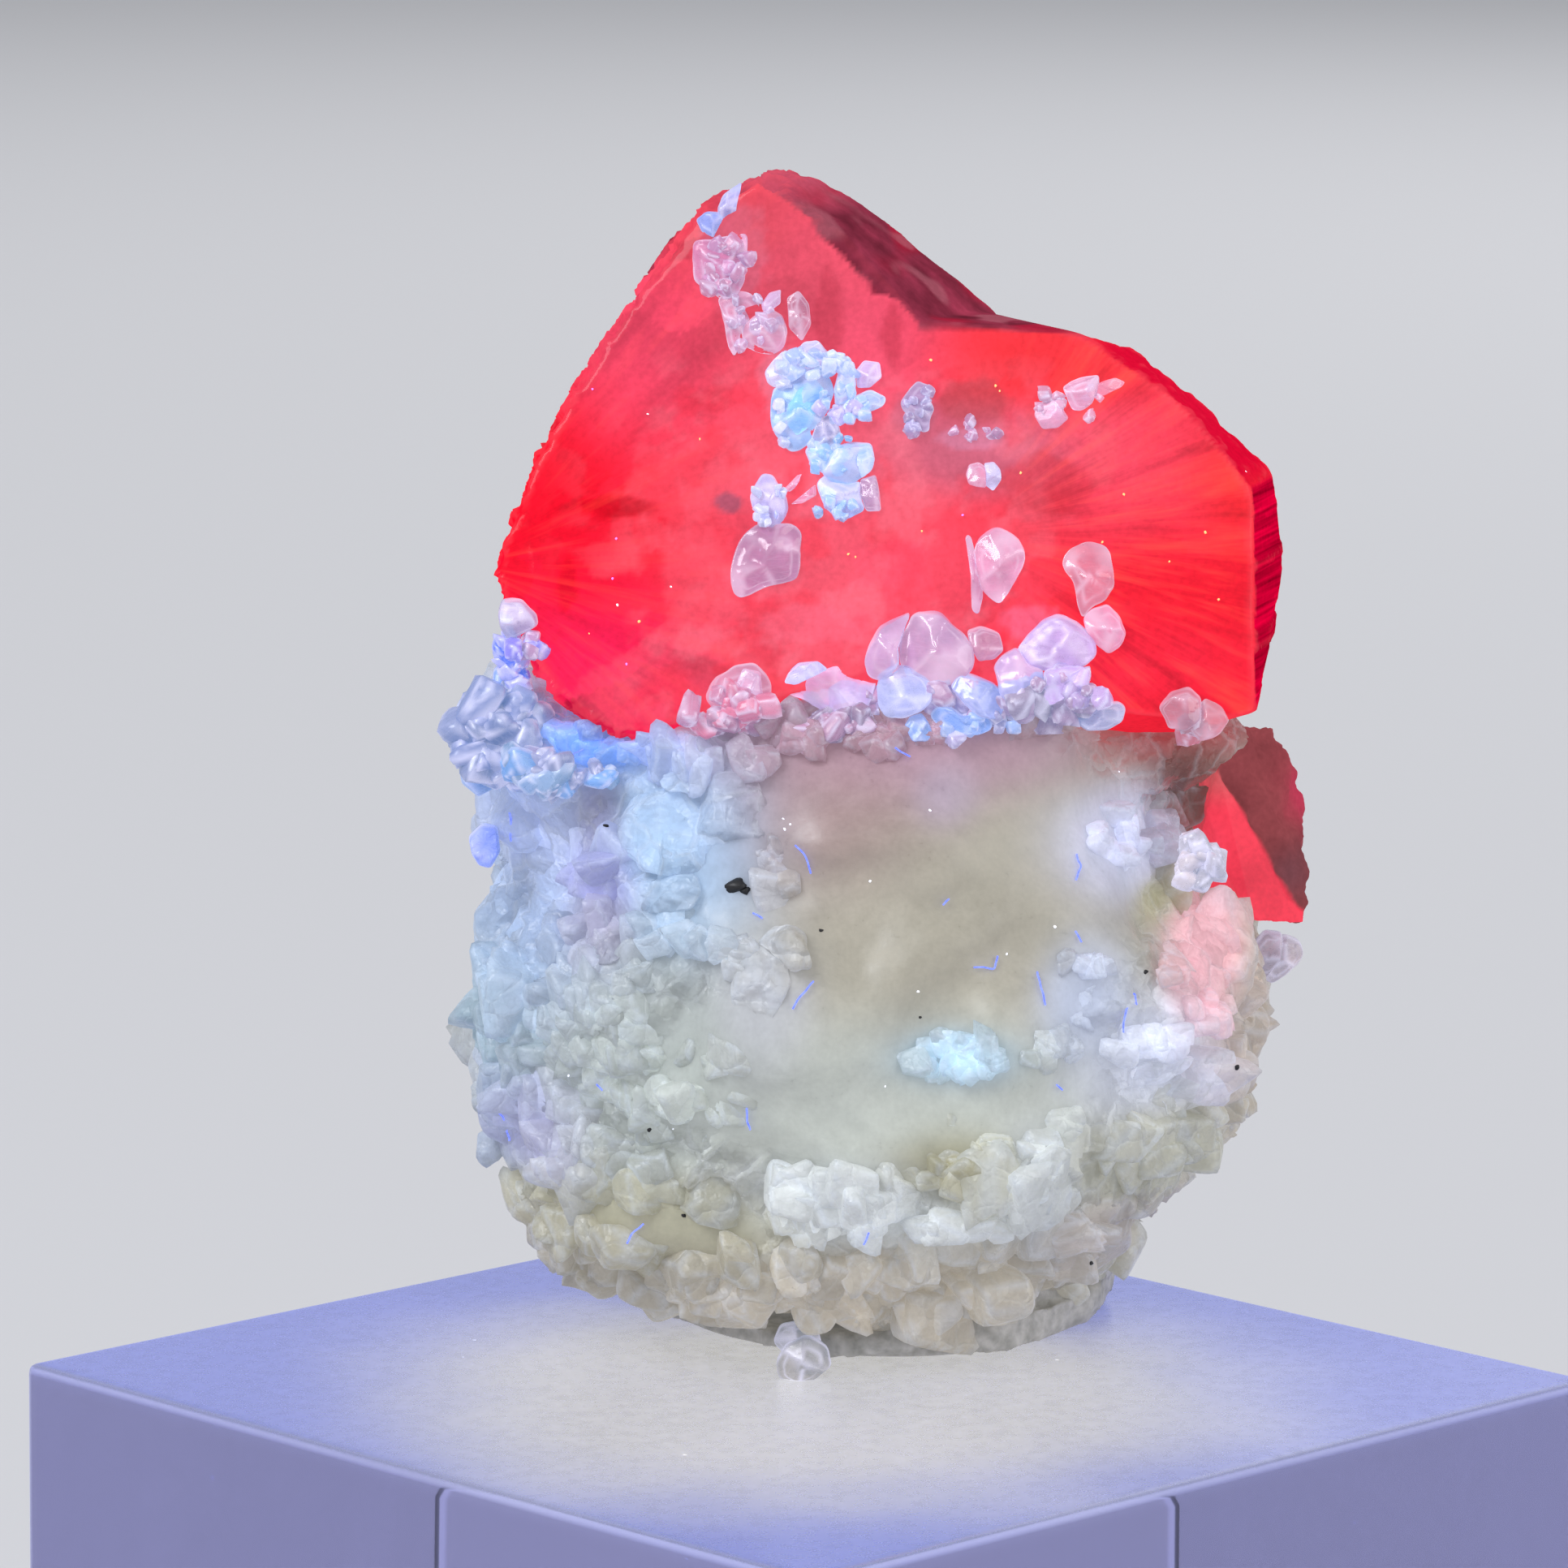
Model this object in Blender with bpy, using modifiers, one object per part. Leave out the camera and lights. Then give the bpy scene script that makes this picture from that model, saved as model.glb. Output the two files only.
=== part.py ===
"""A red spinel crystal on a lump of white marble, held with putty on a clear display cube.

Everything is in metres with +Z up. The origin is the middle of the cube's underside, and
the specimen's good side looks along -Y. The cube stands cornerwise, with its diagonals
along X and Y. Places on the specimen are written in millimetres from the middle of the
cube's top face, and place() turns them into metres in this frame.
"""
import math
import random

import bmesh
import bpy
from mathutils import Euler, Matrix, Vector, noise

MM = 0.001

BLOCK_SIDE = 31.75
BLOCK_EDGE = 0.3
BLOCK_EDGE_SEGMENTS = 2
BLOCK_TURN = math.radians(45)
GAP = 0.3

# The lump of marble, from its foot to its shoulder: height, left, right, front, back.
LUMP_SECTIONS = [
    (0.9, -4.4, 7.2, 1.0, 13.4),
    (2.0, -7.0, 8.9, -1.0, 14.8),
    (3.4, -8.3, 9.8, -2.2, 15.8),
    (5.4, -9.5, 12.1, -3.0, 16.6),
    (7.6, -9.9, 13.1, -3.4, 17.0),
    (9.8, -9.9, 13.1, -3.5, 17.1),
    (11.6, -9.8, 12.8, -3.3, 16.8),
    (13.2, -9.2, 11.2, -2.9, 16.4),
    (15.2, -9.6, 9.9, -2.2, 16.0),
    (17.2, -10.2, 9.9, -1.5, 15.6),
    (18.8, -9.8, 10.6, -0.7, 15.2),
    (19.7, -8.6, 10.2, 0.5, 14.9),
]
# The thinner backing that climbs behind the crystal.
BACKING_SECTIONS = [
    (17.0, -8.8, 10.8, 3.0, 15.8),
    (20.0, -8.2, 10.4, 5.5, 15.9),
    (23.0, -7.2, 9.2, 8.0, 15.5),
    (25.5, -5.4, 6.8, 9.6, 14.9),
    (27.2, -3.2, 3.6, 10.8, 14.2),
]
SECTION_POINTS = 40
LUMP_RINGS = 22
BACKING_RINGS = 8
SECTION_ROUNDNESS = 2.5
LUMP_ROUGHNESS = 0.55
LUMP_GRAIN_SIZE = 2.3
END_SHRINK = 0.55

# A shoulder low on the right carries the small crystal: centre and half sizes.
SHOULDER_CENTRE = (10.4, 11.2, 12.6)
SHOULDER_RADII = (3.0, 3.6, 5.0)

PUTTY_CENTRE = (2.4, 7.8)
# Height, radius and shift to the right of the putty's outline, foot first.
PUTTY_RINGS = [(0.3, 7.0, 0.0), (0.9, 7.2, 0.1), (2.0, 6.9, 0.5), (3.0, 6.0, 0.8)]
PUTTY_POINTS = 36
PUTTY_TIP = 0.6

# The front face of the large crystal leans back: y = FACE_LEAN * (z - FACE_FOOT).
FACE_LEAN = 0.31
FACE_FOOT = 19.0

# Corners of the large crystal. Its left part carries the peak, its right part the crisp
# upright edge, and the two grew together.
LEFT_CORNERS = [
    (-1.8, 4.6, 33.7), (-3.5, 4.6, 32.8), (-5.9, 3.6, 29.5), (-7.2, 2.9, 27.0),
    (-8.3, 2.4, 25.4), (-9.2, 1.9, 22.7), (-8.9, 1.5, 21.6), (-7.8, 0.6, 19.8),
    (-5.6, -0.2, 18.4), (-3.6, -0.1, 18.6), (1.4, 0.2, 20.2), (3.6, 1.6, 24.0),
    (2.8, 3.2, 29.9), (1.6, 3.7, 31.2), (0.7, 4.1, 32.2),
    (-1.5, 7.0, 33.9), (-0.1, 7.0, 33.6), (1.1, 7.1, 32.9), (3.2, 7.3, 31.1),
    (4.4, 7.4, 30.3), (5.9, 7.8, 28.9), (-4.4, 9.0, 31.4), (-7.6, 6.6, 26.6),
    (-8.6, 5.6, 22.0), (-6.6, 7.0, 17.4), (-3.8, 12.4, 27.6), (-4.6, 12.2, 20.0),
    (1.2, 12.6, 29.6), (4.4, 11.6, 18.0), (0.0, 9.0, 16.4),
]
RIGHT_CORNERS = [
    (-3.0, 2.0, 25.6), (-2.0, 0.4, 20.2), (2.7, 3.2, 29.9), (7.3, 3.2, 29.6),
    (8.7, 2.9, 28.7), (9.9, 2.6, 28.0), (11.3, 2.2, 26.6), (12.3, 1.8, 25.4),
    (12.4, 1.2, 23.0), (12.4, 0.1, 19.2), (11.4, 0.1, 18.9), (6.4, 0.1, 19.4),
    (4.4, 7.4, 29.8), (7.7, 7.0, 28.8), (9.1, 4.4, 28.9), (11.0, 4.5, 27.4),
    (13.1, 4.5, 25.4), (13.4, 4.4, 23.0), (13.1, 4.2, 20.6), (12.6, 3.6, 18.7),
    (11.2, 9.4, 25.4), (11.0, 9.2, 19.6), (7.4, 11.8, 26.4), (7.0, 11.6, 18.6),
    (3.0, 8.0, 16.6), (9.4, 6.0, 17.4), (-3.0, 8.0, 20.0), (-3.0, 8.0, 26.0),
]
SIDE_CORNERS = [
    (11.8, 7.6, 16.4), (11.5, 7.2, 15.1), (11.9, 7.0, 13.7), (12.9, 6.6, 12.0),
    (14.4, 7.4, 11.8), (13.6, 7.8, 13.6), (12.6, 8.6, 17.4), (13.5, 9.4, 17.3),
    (14.1, 10.0, 16.2), (14.5, 10.2, 15.1), (14.3, 10.2, 13.2), (13.8, 12.0, 15.6),
    (13.2, 11.6, 12.2), (11.4, 10.8, 16.6), (11.2, 10.6, 12.6), (12.4, 12.2, 16.6),
]

# Groups of calcite grains: two ends of the line they lie along, the size of a grain, how
# far they stray from the line, and how many there are.
FACE_GROUPS = {
    "calcite_blue_cluster": ((-0.4, 28.0), (1.2, 25.1), 1.6, 0.5, 9),
    "calcite_top_patch": ((-2.9, 32.0), (-1.8, 30.2), 1.4, 0.2, 4),
    "calcite_seam": ((6.1, 27.2), (8.2, 28.2), 1.3, 0.12, 5),
    "calcite_drop_right": ((7.5, 23.0), (8.2, 21.7), 1.5, 0.05, 3),
}
# Single grains on the crystal's face: x and z of the middle, then width, depth, height.
FACE_GRAINS = {
    "calcite_bead": ((-1.6, 25.2), (1.0, 1.1, 1.0)),
    "calcite_clear_rhomb": ((-1.4, 23.1), (1.9, 1.1, 2.0)),
    "calcite_drop": ((5.1, 23.2), (1.5, 1.1, 1.9)),
    "calcite_spot_left": ((2.8, 27.6), (0.9, 1.0, 1.0)),
    "calcite_spot_right": ((4.8, 25.6), (0.9, 1.0, 0.9)),
}
# Grains of the rim and the outline: the middle, then width, depth, height.
OUTER_GRAINS = {
    "calcite_rim_left": ((-2.6, -0.6, 19.5), (1.8, 1.8, 1.7)),
    "calcite_rim_right": ((10.9, 0.2, 18.6), (2.2, 2.0, 2.2)),
    "calcite_rim_oval": ((8.1, -1.3, 18.7), (1.3, 1.3, 0.9)),
    "calcite_edge_knob": ((-8.9, 1.6, 21.4), (1.6, 1.8, 1.6)),
    "calcite_chip_right": ((14.8, 9.7, 12.9), (0.9, 1.4, 1.7)),
    "calcite_knob_right": ((13.6, 8.0, 10.5), (2.2, 2.2, 1.4)),
}
RIM_ROW = [
    ((0.5, -0.9, 19.8), (2.8, 1.6, 1.5)),
    ((2.9, -0.7, 20.8), (2.9, 1.8, 2.5)),
    ((2.5, -1.5, 19.6), (1.8, 1.4, 1.5)),
    ((4.5, -1.1, 19.7), (2.6, 1.6, 1.9)),
    ((6.4, -0.8, 20.6), (2.8, 1.8, 2.4)),
]
SHOULDER_GROUP = [
    ((-9.4, 2.6, 18.3), (2.6, 2.8, 2.9)),
    ((-10.1, 3.4, 17.0), (1.5, 2.0, 2.0)),
    ((-8.1, 1.4, 17.6), (2.2, 2.2, 2.2)),
]
FOOT_MIDDLE = (-0.2, -0.7, 1.3)
FOOT_SIZE = (1.6, 1.4, 1.5)

GRAIN_CHAMFER = 0.16
GRAIN_SLANT = 0.25
GROUP_SEED = 7


def clear_scene():
    """Start from an empty scene."""
    for thing in list(bpy.data.objects):
        bpy.data.objects.remove(thing, do_unlink=True)


def new_collection(name):
    """A collection linked to the scene."""
    group = bpy.data.collections.new(name)
    bpy.context.scene.collection.children.link(group)
    return group


def finish(name, colour, roughness, alpha=1.0):
    """A plain Principled material in the piece's own colour."""
    material = bpy.data.materials.new(name)
    material.use_nodes = True
    shader = material.node_tree.nodes["Principled BSDF"]
    shader.inputs["Base Color"].default_value = (*colour, 1.0)
    shader.inputs["Roughness"].default_value = roughness
    shader.inputs["Metallic"].default_value = 0.0
    shader.inputs["Alpha"].default_value = alpha
    return material


def place(x, y, z):
    """Metres in the shared frame, from millimetres above the cube's top face."""
    return Vector((x, y, BLOCK_SIDE + z)) * MM


def add_object(name, shape, material, group):
    """Turn a bmesh into an object in the given collection."""
    bmesh.ops.recalc_face_normals(shape, faces=shape.faces)
    mesh = bpy.data.meshes.new(name)
    shape.to_mesh(mesh)
    shape.free()
    thing = bpy.data.objects.new(name, mesh)
    group.objects.link(thing)
    if material:
        mesh.materials.append(material)
    return thing


def add_tool(name, shape):
    """An object that only shapes others, drawn as wire."""
    tool = add_object(name, shape, None, TOOLS)
    tool.display_type = "WIRE"
    tool.hide_render = True
    return tool


def boolean(thing, tool, operation):
    """Join or cut a piece with a tool."""
    step = thing.modifiers.new(tool.name, "BOOLEAN")
    step.operation = operation
    step.object = tool
    step.solver = "EXACT"


def hull(corners):
    """The closed convex solid that spans a set of corners."""
    shape = bmesh.new()
    for corner in corners:
        shape.verts.new(place(*corner))
    result = bmesh.ops.convex_hull(shape, input=shape.verts)
    inner = set(result["geom_interior"]) | set(result["geom_unused"])
    loose = [item for item in inner if isinstance(item, bmesh.types.BMVert)]
    bmesh.ops.delete(shape, geom=loose, context="VERTS")
    return shape


def grain(middle, size, seed):
    """A calcite rhomb: a slanted box with its edges cut off, turned at random."""
    chance = random.Random(seed)
    shape = bmesh.new()
    bmesh.ops.create_cube(shape, size=1.0)
    slant = Matrix.Shear("XY", 4, (GRAIN_SLANT, -GRAIN_SLANT / 2))
    turn = Euler([chance.uniform(-0.5, 0.5) for _ in range(3)]).to_matrix().to_4x4()
    bmesh.ops.transform(shape, matrix=turn @ slant, verts=shape.verts)
    stretch = Matrix.Diagonal((*[side * MM for side in size], 1.0))
    bmesh.ops.transform(shape, matrix=Matrix.Translation(place(*middle)) @ stretch,
                        verts=shape.verts)
    bmesh.ops.bevel(shape, geom=shape.edges[:], offset=GRAIN_CHAMFER * min(size) * MM,
                    segments=1, affect="EDGES")
    return shape


def ring_at(sections, height):
    """Left, right, front and back of a lump at one height, read between its sections."""
    for low, high in zip(sections, sections[1:]):
        if height <= high[0]:
            break
    share = (height - low[0]) / (high[0] - low[0])
    return [a + (b - a) * share for a, b in zip(low[1:], high[1:])]


def lump(sections, rings):
    """Loft rounded sections into one rough closed solid."""
    shape = bmesh.new()
    foot, top = sections[0][0], sections[-1][0]
    loops = []
    for index in range(rings + 2):
        share = min(max((index - 0.5) / (rings - 1), 0.0), 1.0)
        height = foot + (top - foot) * share
        left, right, front, back = ring_at(sections, height)
        shrink = END_SHRINK if index in (0, rings + 1) else 1.0
        loop = []
        for step in range(SECTION_POINTS):
            angle = 2 * math.pi * step / SECTION_POINTS
            across, along = math.cos(angle), math.sin(angle)
            reach = (abs(across) ** SECTION_ROUNDNESS
                     + abs(along) ** SECTION_ROUNDNESS) ** (-1 / SECTION_ROUNDNESS)
            x = (left + right) / 2 + (right - left) / 2 * across * reach * shrink
            y = (front + back) / 2 + (back - front) / 2 * along * reach * shrink
            out = noise.cell(Vector((x, y, height)) / LUMP_GRAIN_SIZE) - 0.5
            out += noise.noise(Vector((x, y, height)) / (2 * LUMP_GRAIN_SIZE))
            x += LUMP_ROUGHNESS * out * across * shrink
            y += LUMP_ROUGHNESS * out * along * shrink
            loop.append(shape.verts.new(place(x, y, height)))
        loops.append(loop)
    for below, above in zip(loops, loops[1:]):
        for step in range(SECTION_POINTS):
            after = (step + 1) % SECTION_POINTS
            shape.faces.new((below[step], below[after], above[after], above[step]))
    shape.faces.new(loops[0])
    shape.faces.new(loops[-1])
    bmesh.ops.triangulate(shape, faces=shape.faces[:])
    return shape


def room_for(thing):
    """A wire copy of a finished piece, grown by the gap that its neighbours keep."""
    bpy.context.view_layer.update()
    ready = thing.evaluated_get(bpy.context.evaluated_depsgraph_get())
    shape = bmesh.new()
    shape.from_mesh(ready.to_mesh())
    bmesh.ops.remove_doubles(shape, verts=shape.verts, dist=0.02 * MM)
    shape.normal_update()
    moves = [vert.normal * GAP * MM * min(vert.calc_shell_factor(), 1.6)
             for vert in shape.verts]
    for vert, move in zip(shape.verts, moves):
        vert.co += move
    ready.to_mesh_clear()
    return add_tool(f"{thing.name}_room", shape)


def display_block():
    """The clear cube, with its edges eased."""
    shape = bmesh.new()
    bmesh.ops.create_cube(shape, size=BLOCK_SIDE * MM)
    lift = Matrix.Translation((0, 0, BLOCK_SIDE / 2 * MM))
    turn = Matrix.Rotation(BLOCK_TURN, 4, "Z")
    bmesh.ops.transform(shape, matrix=lift @ turn, verts=shape.verts)
    acrylic = finish("acrylic", (0.82, 0.84, 0.95), 0.04, 0.35)
    cube = add_object("display_block", shape, acrylic, PARTS)
    edge = cube.modifiers.new("eased edges", "BEVEL")
    edge.width = BLOCK_EDGE * MM
    edge.segments = BLOCK_EDGE_SEGMENTS


def mounting_putty(marble_room):
    """The pad of putty, pressed down by the marble, with a tip to the front."""
    shape = bmesh.new()
    loops = []
    for height, radius, shift in PUTTY_RINGS:
        loop = []
        for step in range(PUTTY_POINTS):
            angle = 2 * math.pi * step / PUTTY_POINTS
            tip = PUTTY_TIP * max(-math.sin(angle), 0.0) ** 6
            wave = 0.25 * noise.noise(Vector((math.cos(angle), math.sin(angle), height)) * 2.2)
            reach = radius + tip + wave
            loop.append(shape.verts.new(place(PUTTY_CENTRE[0] + shift + reach * math.cos(angle),
                                              PUTTY_CENTRE[1] + reach * math.sin(angle), height)))
        loops.append(loop)
    for below, above in zip(loops, loops[1:]):
        for step in range(PUTTY_POINTS):
            after = (step + 1) % PUTTY_POINTS
            shape.faces.new((below[step], below[after], above[after], above[step]))
    shape.faces.new(loops[0])
    shape.faces.new(loops[-1])
    pad = add_object("mounting_putty", shape, finish("putty", (0.26, 0.26, 0.26), 0.7), PARTS)
    boolean(pad, marble_room, "DIFFERENCE")
    return pad


def main_crystal(red):
    """Two parts of one crystal, grown together."""
    crystal = add_object("spinel_crystal_main", hull(LEFT_CORNERS), red, PARTS)
    boolean(crystal, add_tool("right_part", hull(RIGHT_CORNERS)), "UNION")
    return crystal


def marble(stone, rooms):
    """The lump, its backing and its shoulder in one solid, cut away round the crystals.

    It returns the room that the whole lump needs, for the pieces that touch it.
    """
    body = add_object("calcite_matrix", lump(LUMP_SECTIONS, LUMP_RINGS), stone, PARTS)
    boolean(body, add_tool("backing", lump(BACKING_SECTIONS, BACKING_RINGS)), "UNION")
    ball = bmesh.new()
    bmesh.ops.create_icosphere(ball, subdivisions=2, radius=1.0)
    stretch = Matrix.Diagonal((*[radius * MM for radius in SHOULDER_RADII], 1.0))
    centre = Matrix.Translation(place(*SHOULDER_CENTRE))
    bmesh.ops.transform(ball, matrix=centre @ stretch, verts=ball.verts)
    boolean(body, add_tool("shoulder", ball), "UNION")
    whole = room_for(body)
    for room in rooms:
        boolean(body, room, "DIFFERENCE")
    return whole


def calcite(name, grains, stone, rooms, seed):
    """One grain, or several grown together, cut clear of what they sit on."""
    first, *others = grains
    piece = add_object(name, grain(*first, seed), stone, PARTS)
    for count, other in enumerate(others, start=1):
        boolean(piece, add_tool(f"{name}_{count}", grain(*other, seed + count)), "UNION")
    for room in rooms:
        boolean(piece, room, "DIFFERENCE")
    return piece


def on_face(x, z, proud=0.0):
    """A point on the large crystal's front face, or that far in front of it."""
    return (x, FACE_LEAN * (z - FACE_FOOT) - proud, z)


def group_along(start, end, size, stray, count, seed):
    """Grains strung along a line on the crystal's face, each a little off the line."""
    chance = random.Random(seed)
    grains = []
    for index in range(count):
        share = index / (count - 1)
        x = start[0] + (end[0] - start[0]) * share + chance.uniform(-stray, stray)
        z = start[1] + (end[1] - start[1]) * share + chance.uniform(-stray, stray) / 2
        scale = size * chance.uniform(0.85, 1.15)
        grains.append((on_face(x, z, 0.25), (scale, scale * 0.8, scale)))
    return grains


clear_scene()
PARTS = new_collection("spinel_specimen")
TOOLS = new_collection("cutters")

spinel_red = finish("spinel", (0.85, 0.02, 0.05), 0.25)
calcite_white = finish("calcite", (0.62, 0.62, 0.56), 0.45)
calcite_clear = finish("clear_calcite", (0.75, 0.70, 0.85), 0.2)

display_block()
crystal_room = room_for(main_crystal(spinel_red))
side_crystal = add_object("spinel_crystal_side", hull(SIDE_CORNERS), spinel_red, PARTS)
side_room = room_for(side_crystal)
marble_room = marble(calcite_white, [crystal_room, side_room])
pad = mounting_putty(marble_room)

for number, (name, (start, end, size, stray, count)) in enumerate(FACE_GROUPS.items()):
    seed = GROUP_SEED + 20 * number
    calcite(name, group_along(start, end, size, stray, count, seed), calcite_clear,
            [crystal_room], seed)
for number, (name, ((x, z), size)) in enumerate(FACE_GRAINS.items()):
    calcite(name, [(on_face(x, z, 0.25), size)], calcite_clear, [crystal_room], number)
for number, (name, (middle, size)) in enumerate(OUTER_GRAINS.items()):
    rooms = [marble_room]
    if name == "calcite_chip_right":
        rooms = [side_room]
    elif name != "calcite_knob_right":
        rooms = [crystal_room, marble_room]
    calcite(name, [(middle, size)], calcite_white, rooms, number)
calcite("calcite_rim_row", RIM_ROW, calcite_clear, [crystal_room, marble_room], GROUP_SEED)
calcite("calcite_shoulder", SHOULDER_GROUP, calcite_white, [crystal_room, marble_room], GROUP_SEED)
calcite("calcite_foot_grain", [(FOOT_MIDDLE, FOOT_SIZE)], calcite_white,
        [room_for(pad), marble_room], GROUP_SEED)
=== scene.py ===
# %% [markdown]
# # A red spinel on marble
#
# A spinel crystal glows red on a lump of white marble, and the lump stands on a clear
# cube. The imported model gives every piece its place. This script adds the looks: first
# it loads that model.

# %% Load the imported model
import math

import bmesh
import bpy
import numpy as np
from mathutils import Matrix, Vector
from mathutils.bvhtree import BVHTree


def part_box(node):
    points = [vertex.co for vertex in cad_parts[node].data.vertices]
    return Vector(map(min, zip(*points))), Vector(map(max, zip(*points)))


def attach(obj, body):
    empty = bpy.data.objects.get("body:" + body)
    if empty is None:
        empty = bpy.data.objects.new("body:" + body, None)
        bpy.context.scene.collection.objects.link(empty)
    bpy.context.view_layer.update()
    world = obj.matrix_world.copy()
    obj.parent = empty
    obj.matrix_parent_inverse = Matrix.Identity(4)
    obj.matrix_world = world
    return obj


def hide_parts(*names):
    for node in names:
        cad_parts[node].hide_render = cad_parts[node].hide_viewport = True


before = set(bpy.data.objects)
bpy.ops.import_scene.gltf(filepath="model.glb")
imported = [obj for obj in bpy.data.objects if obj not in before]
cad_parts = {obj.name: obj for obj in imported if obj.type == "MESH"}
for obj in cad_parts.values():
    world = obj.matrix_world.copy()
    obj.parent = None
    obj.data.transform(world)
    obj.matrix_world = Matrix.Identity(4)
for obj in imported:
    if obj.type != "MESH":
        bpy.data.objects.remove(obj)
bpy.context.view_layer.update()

# %% [markdown]
# ## Units and places
#
# Every size below is in millimetres, because the grains are a millimetre or two across.
# Places on the specimen are measured from the middle of the cube's top face. One helper
# turns them into Blender's metres, and another turns screen colours into the linear
# values that shaders and attributes hold.

# %% Units, places and colours
MM = 0.001
CUBE_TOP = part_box("display_block")[1].z / MM


def to_metres(points):
    """Metres in the shared frame, from millimetres above the cube's top face."""
    return (np.asarray(points, float) + [0, 0, CUBE_TOP]) * MM


def to_specimen(points):
    """Millimetres above the cube's top face, from metres in the shared frame."""
    return np.asarray(points, float) / MM - [0, 0, CUBE_TOP]


def linear(colour):
    """Linear light from a screen colour: the sRGB curve, undone."""
    colour = np.asarray(colour, float)
    return np.where(colour <= 0.04045, colour / 12.92, ((colour + 0.055) / 1.055) ** 2.4)


def ease(low, high, value):
    """0 below low, 1 above high, and a smooth step between them."""
    share = np.clip((value - low) / (high - low), 0, 1)
    return share * share * (3 - 2 * share)


print("cube top at", round(CUBE_TOP, 2), "mm")

# %% [markdown]
# ## The photograph's view
#
# The camera stands 22 cm in front of the specimen and looks down on it a little. These
# numbers were fitted to the corners of the cube, and they work in both directions: they
# aim the camera at the end, and they turn an outline traced on the photograph, in its
# pixels, into places in millimetres on an upright plane at a chosen depth.

# %% Lines of sight
CAMERA_DISTANCE = 220.5
CAMERA_ELEVATION = math.radians(9.5)
CAMERA_ROLL = math.radians(0.57)
CAMERA_AIM = (-0.88, 0.0, 48.78)
PHOTO_WIDTH = 1932
FOCAL_PIXELS = 9609

TO_CAMERA = np.array([0, -math.cos(CAMERA_ELEVATION), math.sin(CAMERA_ELEVATION)])
LEVEL_UP = np.array([0, math.sin(CAMERA_ELEVATION), math.cos(CAMERA_ELEVATION)])
VIEW_RIGHT = np.array([1, 0, 0]) * math.cos(CAMERA_ROLL) + LEVEL_UP * math.sin(CAMERA_ROLL)
VIEW_UP = LEVEL_UP * math.cos(CAMERA_ROLL) - np.array([1, 0, 0]) * math.sin(CAMERA_ROLL)
EYE = np.array(CAMERA_AIM) + TO_CAMERA * CAMERA_DISTANCE - [0, 0, CUBE_TOP]


def seen_at(pixels, depth):
    """Where lines of sight through photo pixels cross y = depth: eye + sight x share of the way.

    Pixels are pairs, or a flat row of x, y, x, y and so on.
    """
    pixels = np.asarray(pixels, float).reshape(-1, 2)
    across, down = (pixels - PHOTO_WIDTH / 2).T[..., None] / FOCAL_PIXELS
    sight = across * VIEW_RIGHT - down * VIEW_UP - TO_CAMERA
    return EYE + sight * ((depth - EYE[1]) / sight[:, 1])[:, None]


print("the photo's middle, in mm on the specimen", seen_at([(966, 966)], 0.0).round(2))

# %% [markdown]
# ## Random but repeatable
#
# Stone is never even. Gradient noise gives a smooth random field: each corner of a
# lattice holds a random slope, and the values between are eased together. The slopes
# come from a hash of the corner's whole numbers, so every run gives the same stone.

# %% Noise for whole arrays of points
HASH_STEPS = np.array([73856093, 19349663, 83492791])


def hashed(cells, seed):
    """A random number from -1 to 1 for each whole-number cell."""
    key = (cells * HASH_STEPS).sum(-1) + seed * 668265263
    key = (key ^ (key >> 13)) * 1274126177 & 0x7FFFFFFF
    key = (key ^ (key >> 16)) * 668265263 & 0x7FFFFFFF
    return (key >> 7 & 0xFFFF) / 32767.5 - 1


def wander(points, size, seed=0):
    """Gradient noise, about -1 to 1, with features of the given size."""
    grid = np.asarray(points, float) / size + 31.7 * (seed + 1)
    cell = np.floor(grid).astype(np.int64)
    part = grid - cell
    blend = part ** 3 * (part * (part * 6 - 15) + 10)
    total = np.zeros(len(grid))
    for corner in range(8):
        step = np.array([corner & 1, corner >> 1 & 1, corner >> 2 & 1])
        slope = np.stack([hashed(cell + step, seed * 3 + k) for k in range(3)], -1)
        weight = np.prod(np.where(step, blend, 1 - blend), -1)
        total += weight * (slope * (part - step)).sum(-1)
    return total * 1.5


def rough(points, size, layers=3, seed=0):
    """Noise in several layers, each half the size and half the height of the last."""
    return sum(wander(points, size / 2 ** k, seed + k) / 2 ** k for k in range(layers))


def rough_shift(points, size, layers, seed):
    """Three noises for each point: a small move along x, y and z."""
    return np.stack([rough(points, size, layers, seed + k) for k in range(3)], -1)


def hashed_steps(numbers, seed):
    """A random number from -1 to 1 for each whole number, such as a layer's."""
    return hashed(numbers[:, None] * [1, 0, 0], seed)


def cells_of(points, size, seed=0):
    """Random cells: distances to the two nearest seeds, the cell's own number and its tilted face."""
    grid = np.asarray(points, float) / size + 11.3
    home = np.floor(grid).astype(np.int64)
    near = np.full(len(grid), 9.0)
    second = np.full(len(grid), 9.0)
    number, tilt = np.zeros(len(grid)), np.zeros(len(grid))
    for shift in np.ndindex(3, 3, 3):
        cell = home + np.array(shift) - 1
        jitter = np.stack([hashed(cell, seed + 50 + k) for k in range(3)], -1) * 0.5 + 0.5
        across = cell + jitter - grid
        gap = np.linalg.norm(across, axis=-1)
        closer = gap < near
        second = np.where(closer, near, np.minimum(second, gap))
        number = np.where(closer, hashed(cell, seed + 90), number)
        slope = np.stack([hashed(cell, seed + 93 + k) for k in range(3)], -1)
        tilt = np.where(closer, (across * slope).sum(-1), tilt)
        near = np.where(closer, gap, near)
    return near * size, second * size, number, tilt


print("noise at one point", round(float(wander([[1.2, 3.4, 5.6]], 2.0)[0]), 3))

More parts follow.
